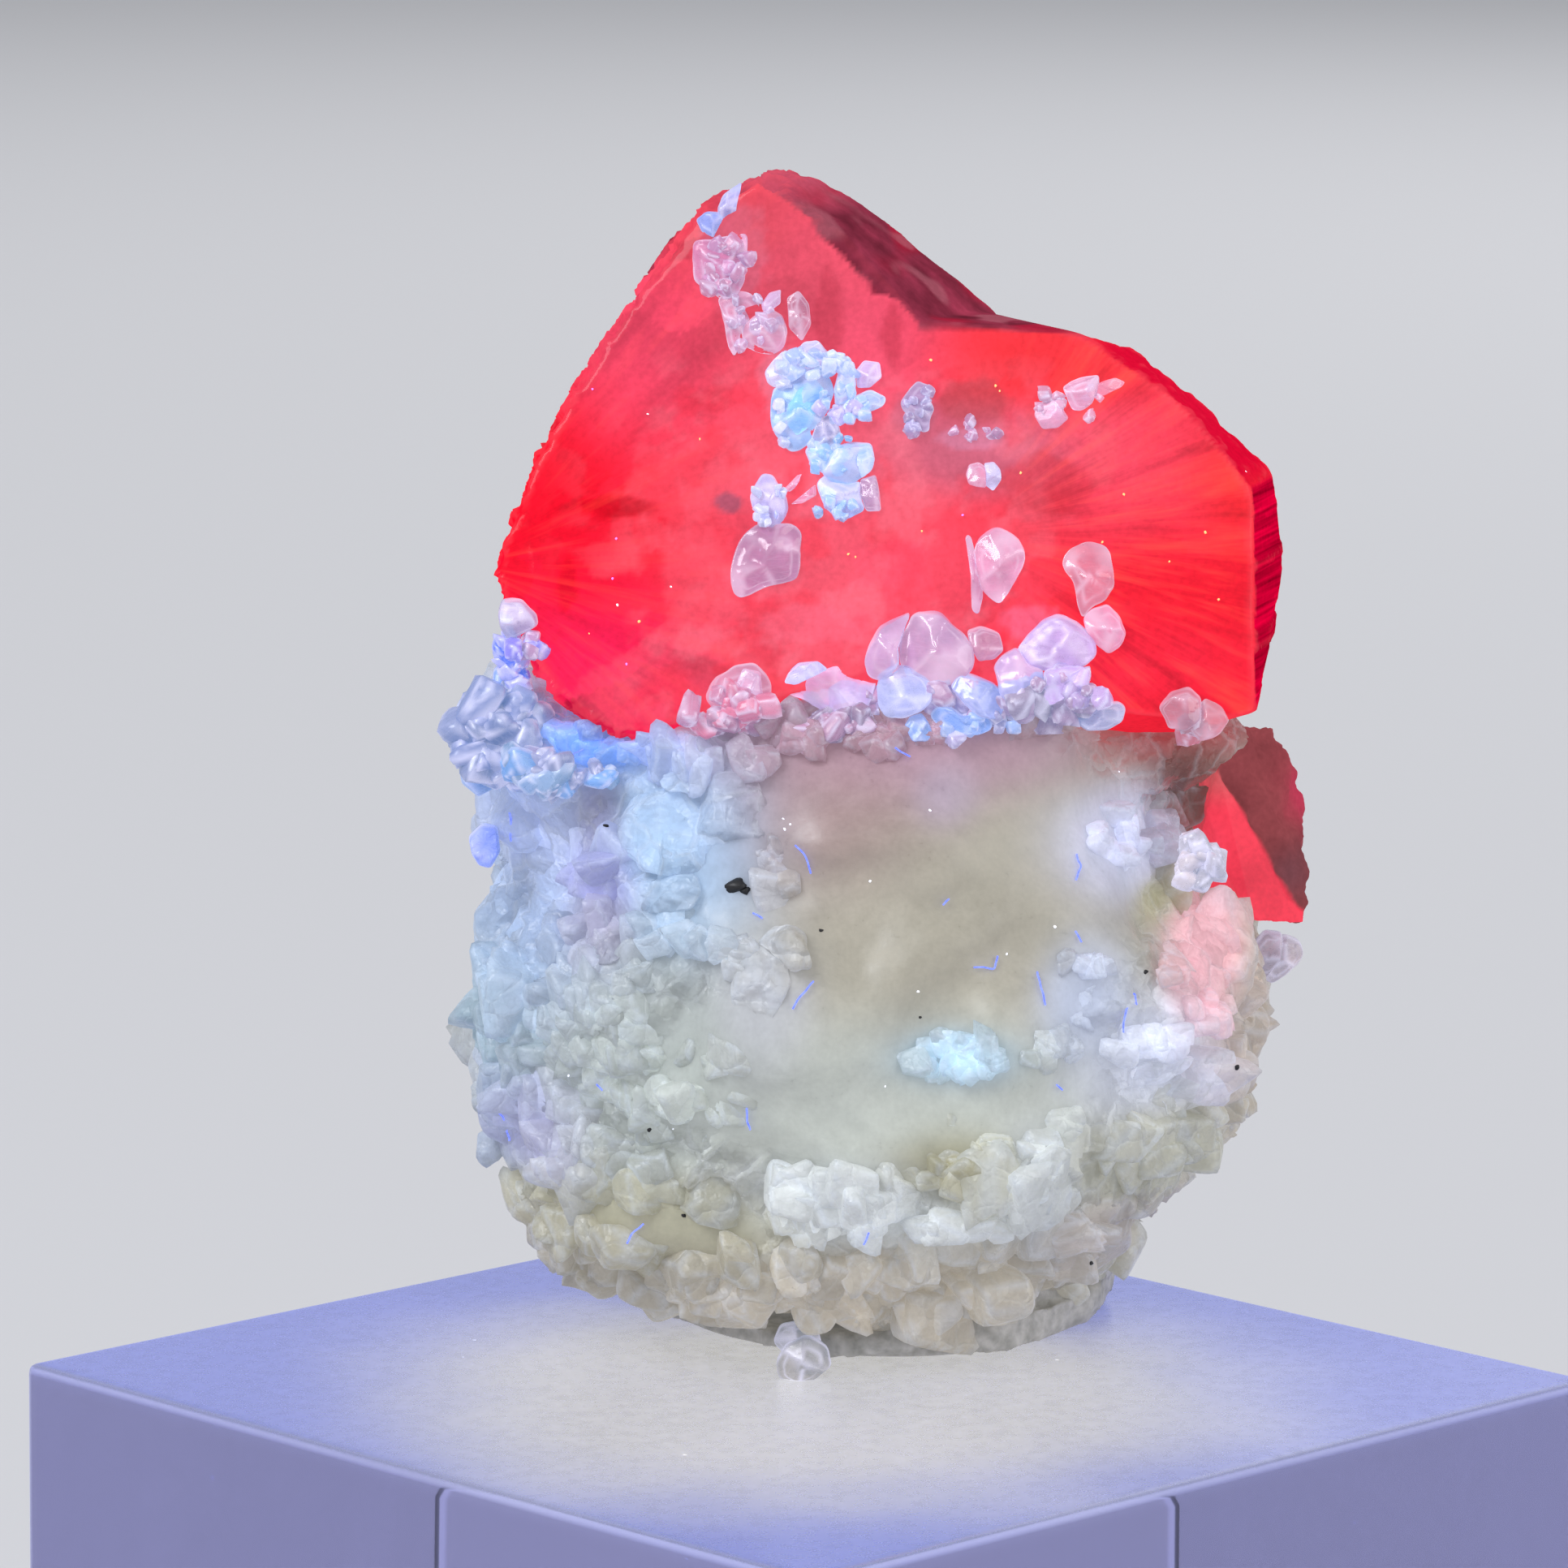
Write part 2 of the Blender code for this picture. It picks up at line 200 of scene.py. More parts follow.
# %% [markdown]
# ## From arrays to meshes
#
# A numpy surface becomes a Blender mesh in one call. The object stays at the origin and
# its place is in its mesh. Extra numbers for each point, such as a tint, go in as
# attributes that a material can read.

# %% Make pieces from arrays
def add_object(name, data):
    """A new object in the scene, at the origin."""
    thing = bpy.data.objects.new(name, data)
    bpy.context.scene.collection.objects.link(thing)
    return thing


def make_piece(name, points, faces, **layers):
    """A mesh object from points in millimetres on the specimen and faces of point numbers."""
    mesh = bpy.data.meshes.new(name)
    mesh.from_pydata(to_metres(points).tolist(), [], np.asarray(faces).tolist())
    add_attributes(mesh, **layers)
    mesh.shade_smooth()
    return add_object(name, mesh)


def add_attributes(mesh, **layers):
    """Store numbers, or colours held from 0 to 1, for each point of a mesh."""
    for label, values in layers.items():
        values = np.asarray(values, np.float32)
        if values.ndim == 1:
            mesh.attributes.new(label, "FLOAT", "POINT").data.foreach_set("value", values)
        else:
            four = np.concatenate([values.clip(0, 1), np.ones((len(values), 1), np.float32)], 1)
            layer = mesh.attributes.new(label, "FLOAT_COLOR", "POINT")
            layer.data.foreach_set("color", four.ravel())


def add_vectors(mesh, label, vectors):
    """Store a place or direction for each point of a mesh."""
    layer = mesh.attributes.new(label, "FLOAT_VECTOR", "POINT")
    layer.data.foreach_set("vector", np.asarray(vectors, np.float32).ravel())


def read_points(mesh):
    """A mesh's points in millimetres on the specimen, and the normals at them."""
    points = np.empty(len(mesh.vertices) * 3)
    normals = np.empty(len(mesh.vertices) * 3)
    mesh.vertices.foreach_get("co", points)
    mesh.vertices.foreach_get("normal", normals)
    return to_specimen(points.reshape(-1, 3)), normals.reshape(-1, 3)


def write_points(mesh, points):
    """Put moved points back into their mesh."""
    mesh.vertices.foreach_set("co", to_metres(points).ravel())
    mesh.update()


def join(parts):
    """Several closed solids as one set of points and faces."""
    points, faces, start = [], [], 0
    for part_points, part_faces in parts:
        points.append(part_points)
        part_faces = np.asarray(part_faces, dtype=object).tolist()
        faces += [[index + start for index in face] for face in part_faces]
        start += len(part_points)
    return np.concatenate(points), np.array(faces, dtype=object)


def ring_faces(ids):
    """Quads between rings of point numbers."""
    after = np.roll(ids, -1, axis=1)
    return np.stack([ids[:-1], after[:-1], after[1:], ids[1:]], -1).reshape(-1, 4).tolist()


def settle(piece, *nodes, slot):
    """Tie a piece to the specimen: its body and the nodes it stands for. Its finish, the slot, is not used.
    """
    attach(piece, "root")
    if nodes:
        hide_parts(*nodes)
    print(piece.name, len(piece.data.polygons), "faces")
    return piece


# %% [markdown]
# ## An even ball of directions
#
# Stones are worked out from their middle: for each direction, how far is the skin? A
# ball made of a cube's six sides, each a square grid pushed out to the sphere, has no
# crowded poles, so facets come out evenly on all sides.

# %% Directions over a ball
def ball_grid(count):
    """Unit directions on a cube's six gridded sides pushed out to a sphere, and their quads."""
    line = np.arange(count + 1)
    u, v = np.meshgrid(line, line, indexing="ij")
    sides = np.empty((6, count + 1, count + 1, 3), int)
    for side in range(6):
        axis, end = side // 2, side % 2 * count
        sides[side, ..., axis] = end
        sides[side, ..., (axis + 1) % 3] = u
        sides[side, ..., (axis + 2) % 3] = v
    keys = sides @ np.array([1, count + 1, (count + 1) ** 2])
    _, first, ids = np.unique(keys, return_index=True, return_inverse=True)
    ids = ids.reshape(keys.shape)
    quads = np.stack([ids[:, :-1, :-1], ids[:, 1:, :-1], ids[:, 1:, 1:], ids[:, :-1, 1:]], -1)
    quads[0::2] = quads[0::2, ..., ::-1]
    warped = np.tan((sides.reshape(-1, 3)[first] / count * 2 - 1) * math.pi / 4)
    return warped / np.linalg.norm(warped, axis=1, keepdims=True), quads.reshape(-1, 4)


def egg(middle, size, count=16):
    """An egg: middle + direction x half the size."""
    directions, quads = ball_grid(count)
    return directions * np.asarray(size) / 2 + middle, quads


def turned(count, chance, most=math.pi):
    """Random rotation matrices: a turn of up to `most` round a random axis, by Rodrigues' rule."""
    axis = chance.normal(size=(count, 3))
    axis /= np.linalg.norm(axis, axis=1, keepdims=True)
    angle = (chance.uniform(0, 1, count) * most)[:, None, None]
    cross = np.zeros((count, 3, 3))
    cross[:, 0, 1], cross[:, 0, 2], cross[:, 1, 2] = -axis[:, 2], axis[:, 1], -axis[:, 0]
    cross -= cross.transpose(0, 2, 1)
    return np.eye(3) + np.sin(angle) * cross + (1 - np.cos(angle)) * cross @ cross


# %% [markdown]
# ## A calcite grain
#
# Calcite breaks into slanted boxes, but in marble the grains are also chipped and
# rounded. Each grain is cut by six slanted faces and a few random ones. The distance to
# the skin blends those faces with a power mean: a high power keeps the edges crisp.

# %% Grains of calcite
RHOMB_FACES = np.array([(1, 0.26, 0.12), (-0.2, 1, 0.28), (0.14, -0.22, 1)])
RHOMB_FACES = np.concatenate([RHOMB_FACES, -RHOMB_FACES])
RHOMB_FACES /= np.linalg.norm(RHOMB_FACES, axis=1, keepdims=True)


def grains(middles, sizes, seed, crisp=14, count=8, chips=5, most=math.pi):
    """Stones: skin = middle + turn(direction x power mean of face distances).

    It also gives each point's nearness to an edge, which is the ratio of its two nearest
    faces, and its place in the unturned stone, so that a pattern can follow the cleavage.
    """
    chance = np.random.default_rng(seed)
    directions, quads = ball_grid(count)
    total, sizes = len(middles), np.asarray(sizes, float)
    extra = chance.normal(size=(total, chips, 3))
    extra /= np.linalg.norm(extra, axis=2, keepdims=True)
    slanted = RHOMB_FACES + chance.normal(0, 0.16, (total, 6, 3))
    faces = np.concatenate([slanted, extra], 1)
    away = np.concatenate([chance.uniform(0.66, 1.0, (total, 6)),
                           chance.uniform(0.78, 1.1, (total, chips))], 1)
    reach = np.maximum(np.einsum("vi,gpi->gvp", directions, faces), 0) / away[:, None]
    power = np.broadcast_to(crisp, total)[:, None]
    radius = (reach ** power[..., None]).sum(-1) ** (-1 / power)
    nearest = np.partition(reach, -2, axis=-1)
    edge = ease(0.80, 1.0, nearest[..., -2] / nearest[..., -1])
    own = directions * radius[..., None] * sizes[:, None, :] / 2
    skin = np.einsum("gij,gvj->gvi", turned(total, chance, most), own)
    points = (skin + np.asarray(middles, float)[:, None, :]).reshape(-1, 3)
    own += chance.uniform(0, 50, (total, 1, 3))
    shift = np.arange(total)[:, None, None] * len(directions)
    return points, (quads[None] + shift).reshape(-1, 4), edge.ravel(), own.reshape(-1, 3)


# %% [markdown]
# ## A stone from its outline
#
# Large stones are known by their outlines. A pebble is a closed outline carried from
# front to back: it starts at a flat front, steps out over a bevel to the full outline,
# and closes behind. Small steps across the front imitate cleavage.

# %% Pebbles
PEBBLE_PROFILE = np.array([
    (0.00, -1.00, 0.0), (0.64, -1.00, 0.0), (0.71, -0.94, 0.7), (0.80, -0.68, 0.1), (0.92, -0.36, 0.1),
    (0.99, -0.12, 0.9), (1.00, 0.05, 1.0), (1.00, 0.32, 0.5), (0.90, 0.78, 0.0), (0.55, 1.00, 0.0),
    (0.00, 1.02, 0.0)])
PEBBLE_RINGS = 22
AROUND = 84
ROUNDING = 2


def round_outline(corners):
    """A closed outline at even steps with its corners eased, by blurring along its length."""
    closed = np.array([*corners, corners[0]], float)
    length = np.concatenate([[0], np.cumsum(np.linalg.norm(np.diff(closed, axis=0), axis=1))])
    steps = np.linspace(0, length[-1], AROUND, endpoint=False)
    line = np.stack([np.interp(steps, length, closed[:, k]) for k in (0, 1)], -1)
    return sum(np.roll(line, k, axis=0) for k in range(-ROUNDING, ROUNDING + 1)) / (2 * ROUNDING + 1)


def pebble(corners, thick, depth, seed, lean=(0.0, 0.31), uneven=0.05, steps=0.03, facets=0):
    """A stone: outline x profile, with its middle at `depth`, leaning by a slope in x and in z.

    Facets are slanted planes that cut the front: its skin is the hindmost of profile and planes.
    """
    chance = np.random.default_rng(seed)
    line = round_outline(corners)
    middle = line.mean(0)
    along = np.concatenate([[0], np.cumsum(np.linalg.norm(np.diff(PEBBLE_PROFILE[:, :2], axis=0), axis=1))])
    places = np.linspace(0, along[-1], PEBBLE_RINGS + 2)[1:-1]
    share, out, light = (np.interp(places, along, PEBBLE_PROFILE[:, k]) for k in range(3))
    ring = middle + (line - middle)[None] * share[:, None, None]
    ring += chance.uniform(-0.12, 0.12, 2) * ease(0.9, 0.6, share)[:, None, None]
    tilt = chance.uniform(-0.25, 0.25, 2) * ease(0.0, -0.9, out)[:, None] + lean
    y = depth + out[:, None] * thick / 2 + ((ring - middle) * tilt[:, None]).sum(-1)
    ridge = np.zeros_like(y)
    if facets:
        bearing = (np.arange(facets) + chance.uniform(-0.4, 0.4, facets)) * 2 * math.pi / facets
        slopes = np.stack([np.cos(bearing), np.sin(bearing)], -1)
        slopes = slopes * chance.uniform(0.25, 0.8, (facets, 1)) + lean
        starts = depth + thick / 2 * chance.uniform(-1.15, -0.5, facets)
        planes = np.minimum(starts[:, None, None] + np.einsum("rak,fk->fra", ring - middle, slopes),
                            depth + ((ring - middle) * lean).sum(-1))
        ranked = np.sort(np.concatenate([y[None], planes]), axis=0)
        cut = (out < 0)[:, None]
        ridge = np.exp(-((ranked[-1] - ranked[-2]) / (0.05 * thick)) ** 2) * cut * (share > 0.1)[:, None]
        y = np.where(cut, ranked[-1], y)
    rings = np.stack([ring[..., 0], y, ring[..., 1]], -1)
    points = np.concatenate([rings.reshape(-1, 3), rings[[0, -1]].mean(1)])
    points += uneven * rough_shift(points, 1.0, 3, seed)
    leaf = (points @ chance.normal(size=3) / 0.45 + wander(points, 1.5, seed + 5)).astype(np.int64)
    in_front = np.append(np.repeat(ease(0.3, -0.3, out), AROUND), [1, 0])
    points[:, 1] += steps * hashed_steps(leaf, seed) * in_front
    ids = np.arange(PEBBLE_RINGS * AROUND).reshape(PEBBLE_RINGS, AROUND)
    faces = ring_faces(ids)
    faces += np.stack([np.roll(ids[0], -1), ids[0], np.full(AROUND, ids.size)], -1).tolist()
    faces += np.stack([ids[-1], np.roll(ids[-1], -1), np.full(AROUND, ids.size + 1)], -1).tolist()
    rim = np.append(np.maximum(np.repeat(light, AROUND), 0.8 * ridge.ravel()), [0, 0])
    return points, faces, rim * ease(-0.7, 0.3, wander(points, 0.9, seed))


# %% [markdown]
# ## Welding stones together
#
# Marble is one mass of grains with no gaps. Here the overlapping solids are joined and
# remeshed from small voxels, so they share one closed skin with creases where grains
# meet. Light can then travel under that skin as it does in the real stone.

# %% Weld overlapping solids into one skin
def copy_of_node(node):
    """Points and triangles of a CAD node, with its loose corners merged on the copy."""
    shape = bmesh.new()
    shape.from_mesh(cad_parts[node].data)
    bmesh.ops.remove_doubles(shape, verts=shape.verts, dist=0.001 * MM)
    shape.verts.index_update()
    points = to_specimen([vert.co for vert in shape.verts])
    normals = np.array([vert.normal for vert in shape.verts])
    faces = [[vert.index for vert in face.verts] for face in shape.faces]
    shape.free()
    return points, faces, normals


def weld(name, solids, voxel, smoothing=0):
    """One closed skin round overlapping solids, from voxels of the given size."""
    piece = make_piece(name, *join(solids))
    remesh = piece.modifiers.new("weld", "REMESH")
    remesh.mode = "VOXEL"
    remesh.voxel_size = voxel * MM
    if smoothing:
        soften = piece.modifiers.new("soften", "SMOOTH")
        soften.factor = 0.5
        soften.iterations = smoothing
    ready = piece.evaluated_get(bpy.context.evaluated_depsgraph_get())
    rough_mesh = piece.data
    piece.data = bpy.data.meshes.new_from_object(ready)
    piece.modifiers.clear()
    bpy.data.meshes.remove(rough_mesh)
    piece.data.name = name
    piece.data.shade_smooth()
    return piece


def ridges(mesh, points, normals, spread=3):
    """How far each point stands out from its neighbours, along its normal: + ridge, - crease."""
    ends = np.empty(len(mesh.edges) * 2, np.int64)
    mesh.edges.foreach_get("vertices", ends)
    ends = ends.reshape(-1, 2)
    links = np.bincount(ends.ravel(), minlength=len(points)).clip(1)

    def around(values):
        sums = np.zeros_like(values)
        for k in range(values.shape[1]):
            sums[:, k] = (np.bincount(ends[:, 0], values[ends[:, 1], k], len(points))
                          + np.bincount(ends[:, 1], values[ends[:, 0], k], len(points)))
        return sums / links[:, None]

    level = points
    for _ in range(spread):
        level = around(level)
    return around((points - level) * normals).sum(1)


# %% [markdown]
# ## The large crystal
#
# The CAD solid already has the crystal's faces, so its copy is remeshed finely and then
# moved point by point. The left side is broken, the right edge is crisp, the narrow
# facet beside it has fine growth lines, and the back is coarse.

# %% Shape the large crystal
CRYSTAL_VOXEL = 0.122
FRONT_NORMAL = np.array([0, -1, 0.31]) / np.linalg.norm([0, -1, 0.31])
LINE_SPACING = 0.34

crystal_points, crystal_faces, _ = copy_of_node("spinel_crystal_main")
crystal = weld("spinel_main", [(crystal_points, crystal_faces)], CRYSTAL_VOXEL, smoothing=2)
points, normals = read_points(crystal.data)
x, y, z = points.T
frontness = ease(0.86, 0.97, normals @ FRONT_NORMAL)
sideness = ease(0.7, 0.9, normals[:, 0]) * ease(26.0, 25.2, z)
topness = (1 - frontness) * ease(24.5, 26.0, z) * (1 - sideness) * ease(7.0, 8.5, x)
brokenness = (1 - frontness) * ease(1.0, -2.0, x)
backness = ease(6.5, 8.5, y)

# Low waves on the clean face, chips on the broken side, lines on the side facet.
move = 0.07 * rough(points, 3.4, 3, 1) * frontness
number = cells_of(points * [1, 0.6, 1], 0.8, 7)[2]
move -= (0.35 * np.abs(rough(points, 1.0, 3, 4)) + 0.16 * number) * brokenness
ledges = np.floor(z / LINE_SPACING + 0.4 * wander(points, 2.0, 12)).astype(np.int64)
move -= 0.05 * hashed_steps(ledges, 3) * sideness
move += 0.10 * rough(points, 0.7, 3, 15) * topness
move += 0.22 * rough(points, 2.4, 4, 18) * np.clip(backness - brokenness, 0, 1)
points = points + normals * move[:, None]
write_points(crystal.data, points)
print("crystal points", len(points))

# %% [markdown]
# ## The colour of the glow
#
# Under ultraviolet light the spinel shines from inside: deep red where the crystal is
# clean, salmon where thin calcite veils it, dull rose on the coarse back, where the dimmer
# colour is painted shade. The glow is laid down as a colour for each point. It blends a
# few named places, and fine streaks fan out from where the growth began.

# %% Colour the crystal point by point
def blend_places(points, base, base_weight, places):
    """Mix colours by nearness: each place weighs exp(-(distance / reach) squared)."""
    total = np.full((len(points), 1), base_weight)
    colour = np.broadcast_to(linear(base) * base_weight, (len(points), 3)).copy()
    for _, place, reach, tint in places:
        gap = (points - place) / reach
        weight = np.exp(-(gap ** 2).sum(1))[:, None]
        total += weight
        colour += weight * linear(tint)
    return colour / total


GLOW_BASE = (0.98, 0.20, 0.27)
GLOW_PLACES = [
    ("deep left", (-7.2, 2.2, 24.4), (3.2, 9, 3.2), (1.00, 0.00, 0.15)),
    ("left foot", (-6.0, 0.3, 20.2), (2.4, 9, 1.9), (1.00, 0.12, 0.35)),
    ("left shoulder", (-5.0, 3.0, 28.6), (2.0, 9, 2.0), (0.99, 0.31, 0.44)),
    ("veiled middle", (-1.4, 1.6, 24.8), (2.4, 9, 3.4), (0.98, 0.33, 0.42)),
    ("low middle", (1.6, 0.7, 22.4), (3.2, 9, 1.6), (0.98, 0.31, 0.40)),
    ("under the peak", (-0.8, 3.7, 31.0), (2.2, 9, 2.2), (0.88, 0.33, 0.42)),
    ("below the notch", (1.6, 3.2, 29.2), (1.8, 9, 1.4), (0.95, 0.34, 0.46)),
    ("upper right", (6.0, 3.1, 29.0), (2.6, 9, 1.1), (1.00, 0.22, 0.26)),
    ("dusky veil", (4.4, 2.2, 26.4), (2.4, 9, 0.9), (0.82, 0.42, 0.52)),
    ("right of the drops", (9.0, 1.8, 25.6), (2.0, 9, 1.6), (1.00, 0.31, 0.41)),
    ("right", (10.4, 1.6, 22.6), (2.6, 9, 3.2), (1.00, 0.11, 0.20)),
    ("right foot", (8.6, 0.6, 20.6), (2.6, 9, 1.0), (1.00, 0.17, 0.28)),
    ("corner", (11.8, 1.8, 25.4), (1.2, 9, 1.0), (1.00, 0.18, 0.20)),
]
# Veils and buried grains under the face: photo pixel, radii in mm, tint and share.
VEILS = [
    ((898, 618), (0.36, 0.30), (0.66, 0.34, 0.44), 0.8), ((1128, 512), (0.6, 0.6), (0.78, 0.42, 0.52), 0.5),
    ((1205, 496), (1.0, 0.6), (0.70, 0.28, 0.32), 0.6), ((1195, 542), (0.9, 0.3), (0.86, 0.55, 0.68), 0.5),
    ((1290, 596), (1.3, 0.8), (0.84, 0.20, 0.26), 0.5), ((1358, 560), (0.5, 0.9), (0.94, 0.36, 0.42), 0.4),
    ((755, 624), (1.2, 0.35), (0.78, 0.0, 0.10), 0.7), ((700, 715), (0.3, 0.7), (0.80, 0.0, 0.10), 0.5),
    ((960, 470), (0.5, 1.0), (0.92, 0.52, 0.62), 0.5), ((1000, 760), (1.6, 0.5), (1.0, 0.42, 0.52), 0.5),
    ((860, 700), (1.0, 1.4), (1.0, 0.36, 0.44), 0.4), ((1095, 690), (1.2, 0.7), (1.0, 0.33, 0.44), 0.4),
    ((1270, 760), (0.9, 0.5), (1.0, 0.44, 0.58), 0.6), ((905, 320), (0.9, 1.4), (0.82, 0.42, 0.52), 0.5),
    ((1020, 400), (0.4, 1.4), (0.74, 0.22, 0.30), 0.5), ((1100, 420), (0.3, 0.8), (0.74, 0.20, 0.28), 0.5),
]
print(len(GLOW_PLACES), "places of colour and", len(VEILS), "veils")

# %% [markdown]
# ## Streaks in two fans
#
# Growth left streaks in two fans. Noise that is read in fan places, by angle and by
# radius, comes out stretched along the rays. A wavy step runs down from the peak, where
# the salmon front ends and the back lobe begins, which is painted duller as shade. It is
# given in photo pixels.

# %% Fans and moves of colour
PEAK_STEP = [(1003, 276), (1015, 300), (1037, 325), (1065, 346), (1076, 360), (1121, 372), (1134, 396)]
LEFT_FAN = (-10.0, 22.9)
RIGHT_FAN = (4.0, 24.0)
LEFT_SPREAD, RIGHT_SPREAD = 7, 10
FAN_SEAM, FAN_GAP = 3.0, 40


def fan_places(points, origin, spread):
    """Places in a fan: (angle x spread, radius / 6, depth / 10), so that noise there makes streaks."""
    across = np.arctan2(points[:, 2] - origin[1], points[:, 0] - origin[0])
    along = np.hypot(points[:, 2] - origin[1], points[:, 0] - origin[0])
    return np.stack([across * spread, along / 6, points[:, 1] * 0.1], -1)


def shift_to(glow, colour, share):
    """Move colours towards another, by a share for each point."""
    glow += (linear(colour) - glow) * np.clip(share, 0, 1)[:, None]


# %% [markdown]
# ## Painting the large crystal
#
# The named places are blended first and then shaded facet by facet. Haze, veils, the
# crimson side, the rough top and the painted shade of the dull back follow in that
# order, because each one covers the ones before it.

# %% Paint the large crystal
glow = blend_places(points, GLOW_BASE, 0.10, GLOW_PLACES)
left_part = ease(1.5, -4.5, x)
right_part = ease(4.5, 8.5, x)
fan = np.where((x < FAN_SEAM)[:, None], fan_places(points, LEFT_FAN, LEFT_SPREAD),
               fan_places(points, RIGHT_FAN, RIGHT_SPREAD) + FAN_GAP)
bent = points * [1, 0.3, 1] + 0.4 * rough(points, 1.6, 3, 24)[:, None]
_, _, facet_tone, facet_tilt = cells_of(bent, 2.2, 23)
shade = 1 + 0.14 * rough(points, 2.4, 4, 29)
shade += (0.07 * facet_tone + 0.16 * facet_tilt) * (0.5 + 0.9 * left_part)
glow *= np.clip(shade, 0.3, 1.8)[:, None]
haze = rough(points, 2.6, 4, 33) + 0.55 * np.exp(-((x + 0.2) / 3.4) ** 2)
haze = (0.5 * ease(0.0, 0.7, haze) + 0.5 * ease(0.18, 0.26, haze)) * ease(9, 6, np.abs(x - 0.6))
haze *= ease(29.5, 27.5, z) * frontness
shift_to(glow, (0.96, 0.44, 0.52), 0.28 * haze)
clouded = frontness * ease(7.5, 4.5, np.abs(x - 0.9)) * ease(29.5, 27.5, z)
shift_to(glow, (1.00, 0.50, 0.58), 0.30 * clouded * ease(0.05, 0.45, rough(points, 1.3, 4, 61)))
shift_to(glow, (0.97, 0.15, 0.24), 0.35 * clouded * ease(0.10, 0.50, rough(points, 1.7, 4, 62)))
for place, (half_x, half_z), tint, share in VEILS:
    middle = seen_at([place], 2.0)[0]
    away = np.hypot((x - middle[0]) / half_x, (z - middle[2]) / half_z) + 0.35 * rough(points, 0.6, 3, 35)
    shift_to(glow, tint, share * ease(1.25, 0.7, away) * frontness)
crimson = linear((0.78, 0.00, 0.19)) * (1 + 0.30 * hashed_steps(ledges, 5))[:, None]
glow += (crimson - glow) * sideness[:, None]
shift_to(glow, (0.84, 0.00, 0.19), 0.9 * topness)
step_line = seen_at(PEAK_STEP, 3.6)[::-1]
beyond = x - np.interp(z, step_line[:, 2], step_line[:, 0]) - 0.30 * rough(points, 1.0, 3, 45)
beyond = ease(-0.05, 0.12, beyond) * ease(step_line[0, 2] - 0.3, step_line[0, 2], z)
beyond *= ease(step_line[-1, 2] + 0.9, step_line[-1, 2] + 0.1, z)
# Painted shade: the back lobe and everything beyond the step are dimmed to dull rose, because the back is
# turned from the light.
shaded_lobe = (1 - frontness) * ease(26.5, 28.5, z) * ease(8.0, 6.5, x) * ease(-3.5, -1.5, x)
shift_to(glow, (0.74, 0.32, 0.41), shaded_lobe * (0.8 + 0.3 * rough(points, 1.2, 2, 46)))
shaded_back = np.maximum(shaded_lobe * ease(step_line[-1, 2] + 1.2, step_line[-1, 2], z), beyond)
shaded_back = np.clip(shaded_back + backness, 0, 1)
# The colour of the painted shade on the back, mottled.
dull = linear((0.50, 0.17, 0.25)) * (1 + 0.6 * rough(points, 1.0, 3, 41))[:, None]
glow += (dull - glow) * (0.95 * shaded_back)[:, None]
shift_to(glow, (0.70, 0.10, 0.22), 0.7 * ease(0.05, 0.45, wander(points, 2.0, 44)) * shaded_back)
shift_to(glow, (0.66, 0.36, 0.42), 0.6 * ease(0.15, 0.5, wander(points, 1.1, 47)) * shaded_back)
height = ridges(crystal.data, points, read_points(crystal.data)[1])
add_vectors(crystal.data, "fan", fan)
add_attributes(crystal.data, streak=(0.55 * left_part + right_part) * frontness, side=sideness,
               gloss=0.3 * frontness * (1 - shaded_back),
               dull=np.clip(shaded_back + 0.6 * sideness + 0.6 * topness, 0, 1), glow=glow,
               edge=ease(0.006, 0.03, height) * (1 - 0.7 * shaded_back))
settle(crystal, "spinel_crystal_main", slot="spinel")
print("mean glow", glow.mean(0).round(2), "and dull share", round(float(shaded_back.mean()), 2))

# %% [markdown]
# ## The small crystal
#
# Low on the right a second spinel shows one bright facet, a kinked triangle, with a
# dull, rounded part behind it, painted a darker rose as shade. The same way of making
# gives it its rough outline.

# %% Shape and colour the small crystal
SIDE_VOXEL = 0.065
side_points, side_faces, _ = copy_of_node("spinel_crystal_side")
small = weld("spinel_side", [(side_points, side_faces)], SIDE_VOXEL, smoothing=2)
points, normals = read_points(small.data)
x, y, z = points.T
KINK_HEIGHTS, KINK_SIDES = (11.6, 12.5, 15.5, 16.4), (14.9, 14.0, 12.3, 11.7)
right_of_kink = x - np.interp(z, KINK_HEIGHTS, KINK_SIDES)
bright = ease(0.12, -0.08, right_of_kink) * ease(0.1, -0.2, normals[:, 1])
move = 0.24 * rough(points, 1.0, 4, 51) * (1 - bright)
points = points + normals * move[:, None]
write_points(small.data, points)
# Painted shade: the part behind the facet is dim rose, darker still low down; the facet that faces front
# glows bright red.
rose = linear((0.56, 0.27, 0.29)) * (1 + 0.30 * rough(points, 1.4, 3, 57))[:, None]
shift_to(rose, (0.74, 0.24, 0.34), np.exp(-(((points - [14.5, 10.0, 15.2]) / 1.1) ** 2).sum(1)))
shift_to(rose, (0.46, 0.28, 0.31), np.exp(-(((points - [14.0, 9.0, 13.2]) / [0.7, 3, 0.8]) ** 2).sum(1)))
red = linear((1.0, 0.26, 0.35)) * (1 + 0.20 * rough(points, 1.5, 2, 60))[:, None]
shift_to(red, (0.85, 0.38, 0.40), ease(15.0, 16.3, z))
height = ridges(small.data, points, read_points(small.data)[1])
add_attributes(small.data, glow=rose + (red - rose) * bright[:, None],
               edge=0.6 * ease(0.006, 0.03, height) * bright, dull=1 - bright, gloss=0.2 * bright)
settle(small, "spinel_crystal_side", slot="spinel")
print("small crystal points", len(points))

# %% [markdown]
# ## Where the grains sit
#
# The marble's waxy middle is smooth, and grains of many sizes crowd round it. Each row
# names a grain or a group: its place on the front, how far the group spreads, the width
# and height of a grain, how many there are, how far they stand out, and their crispness,
# which is high for blocks and low for rounded lumps.

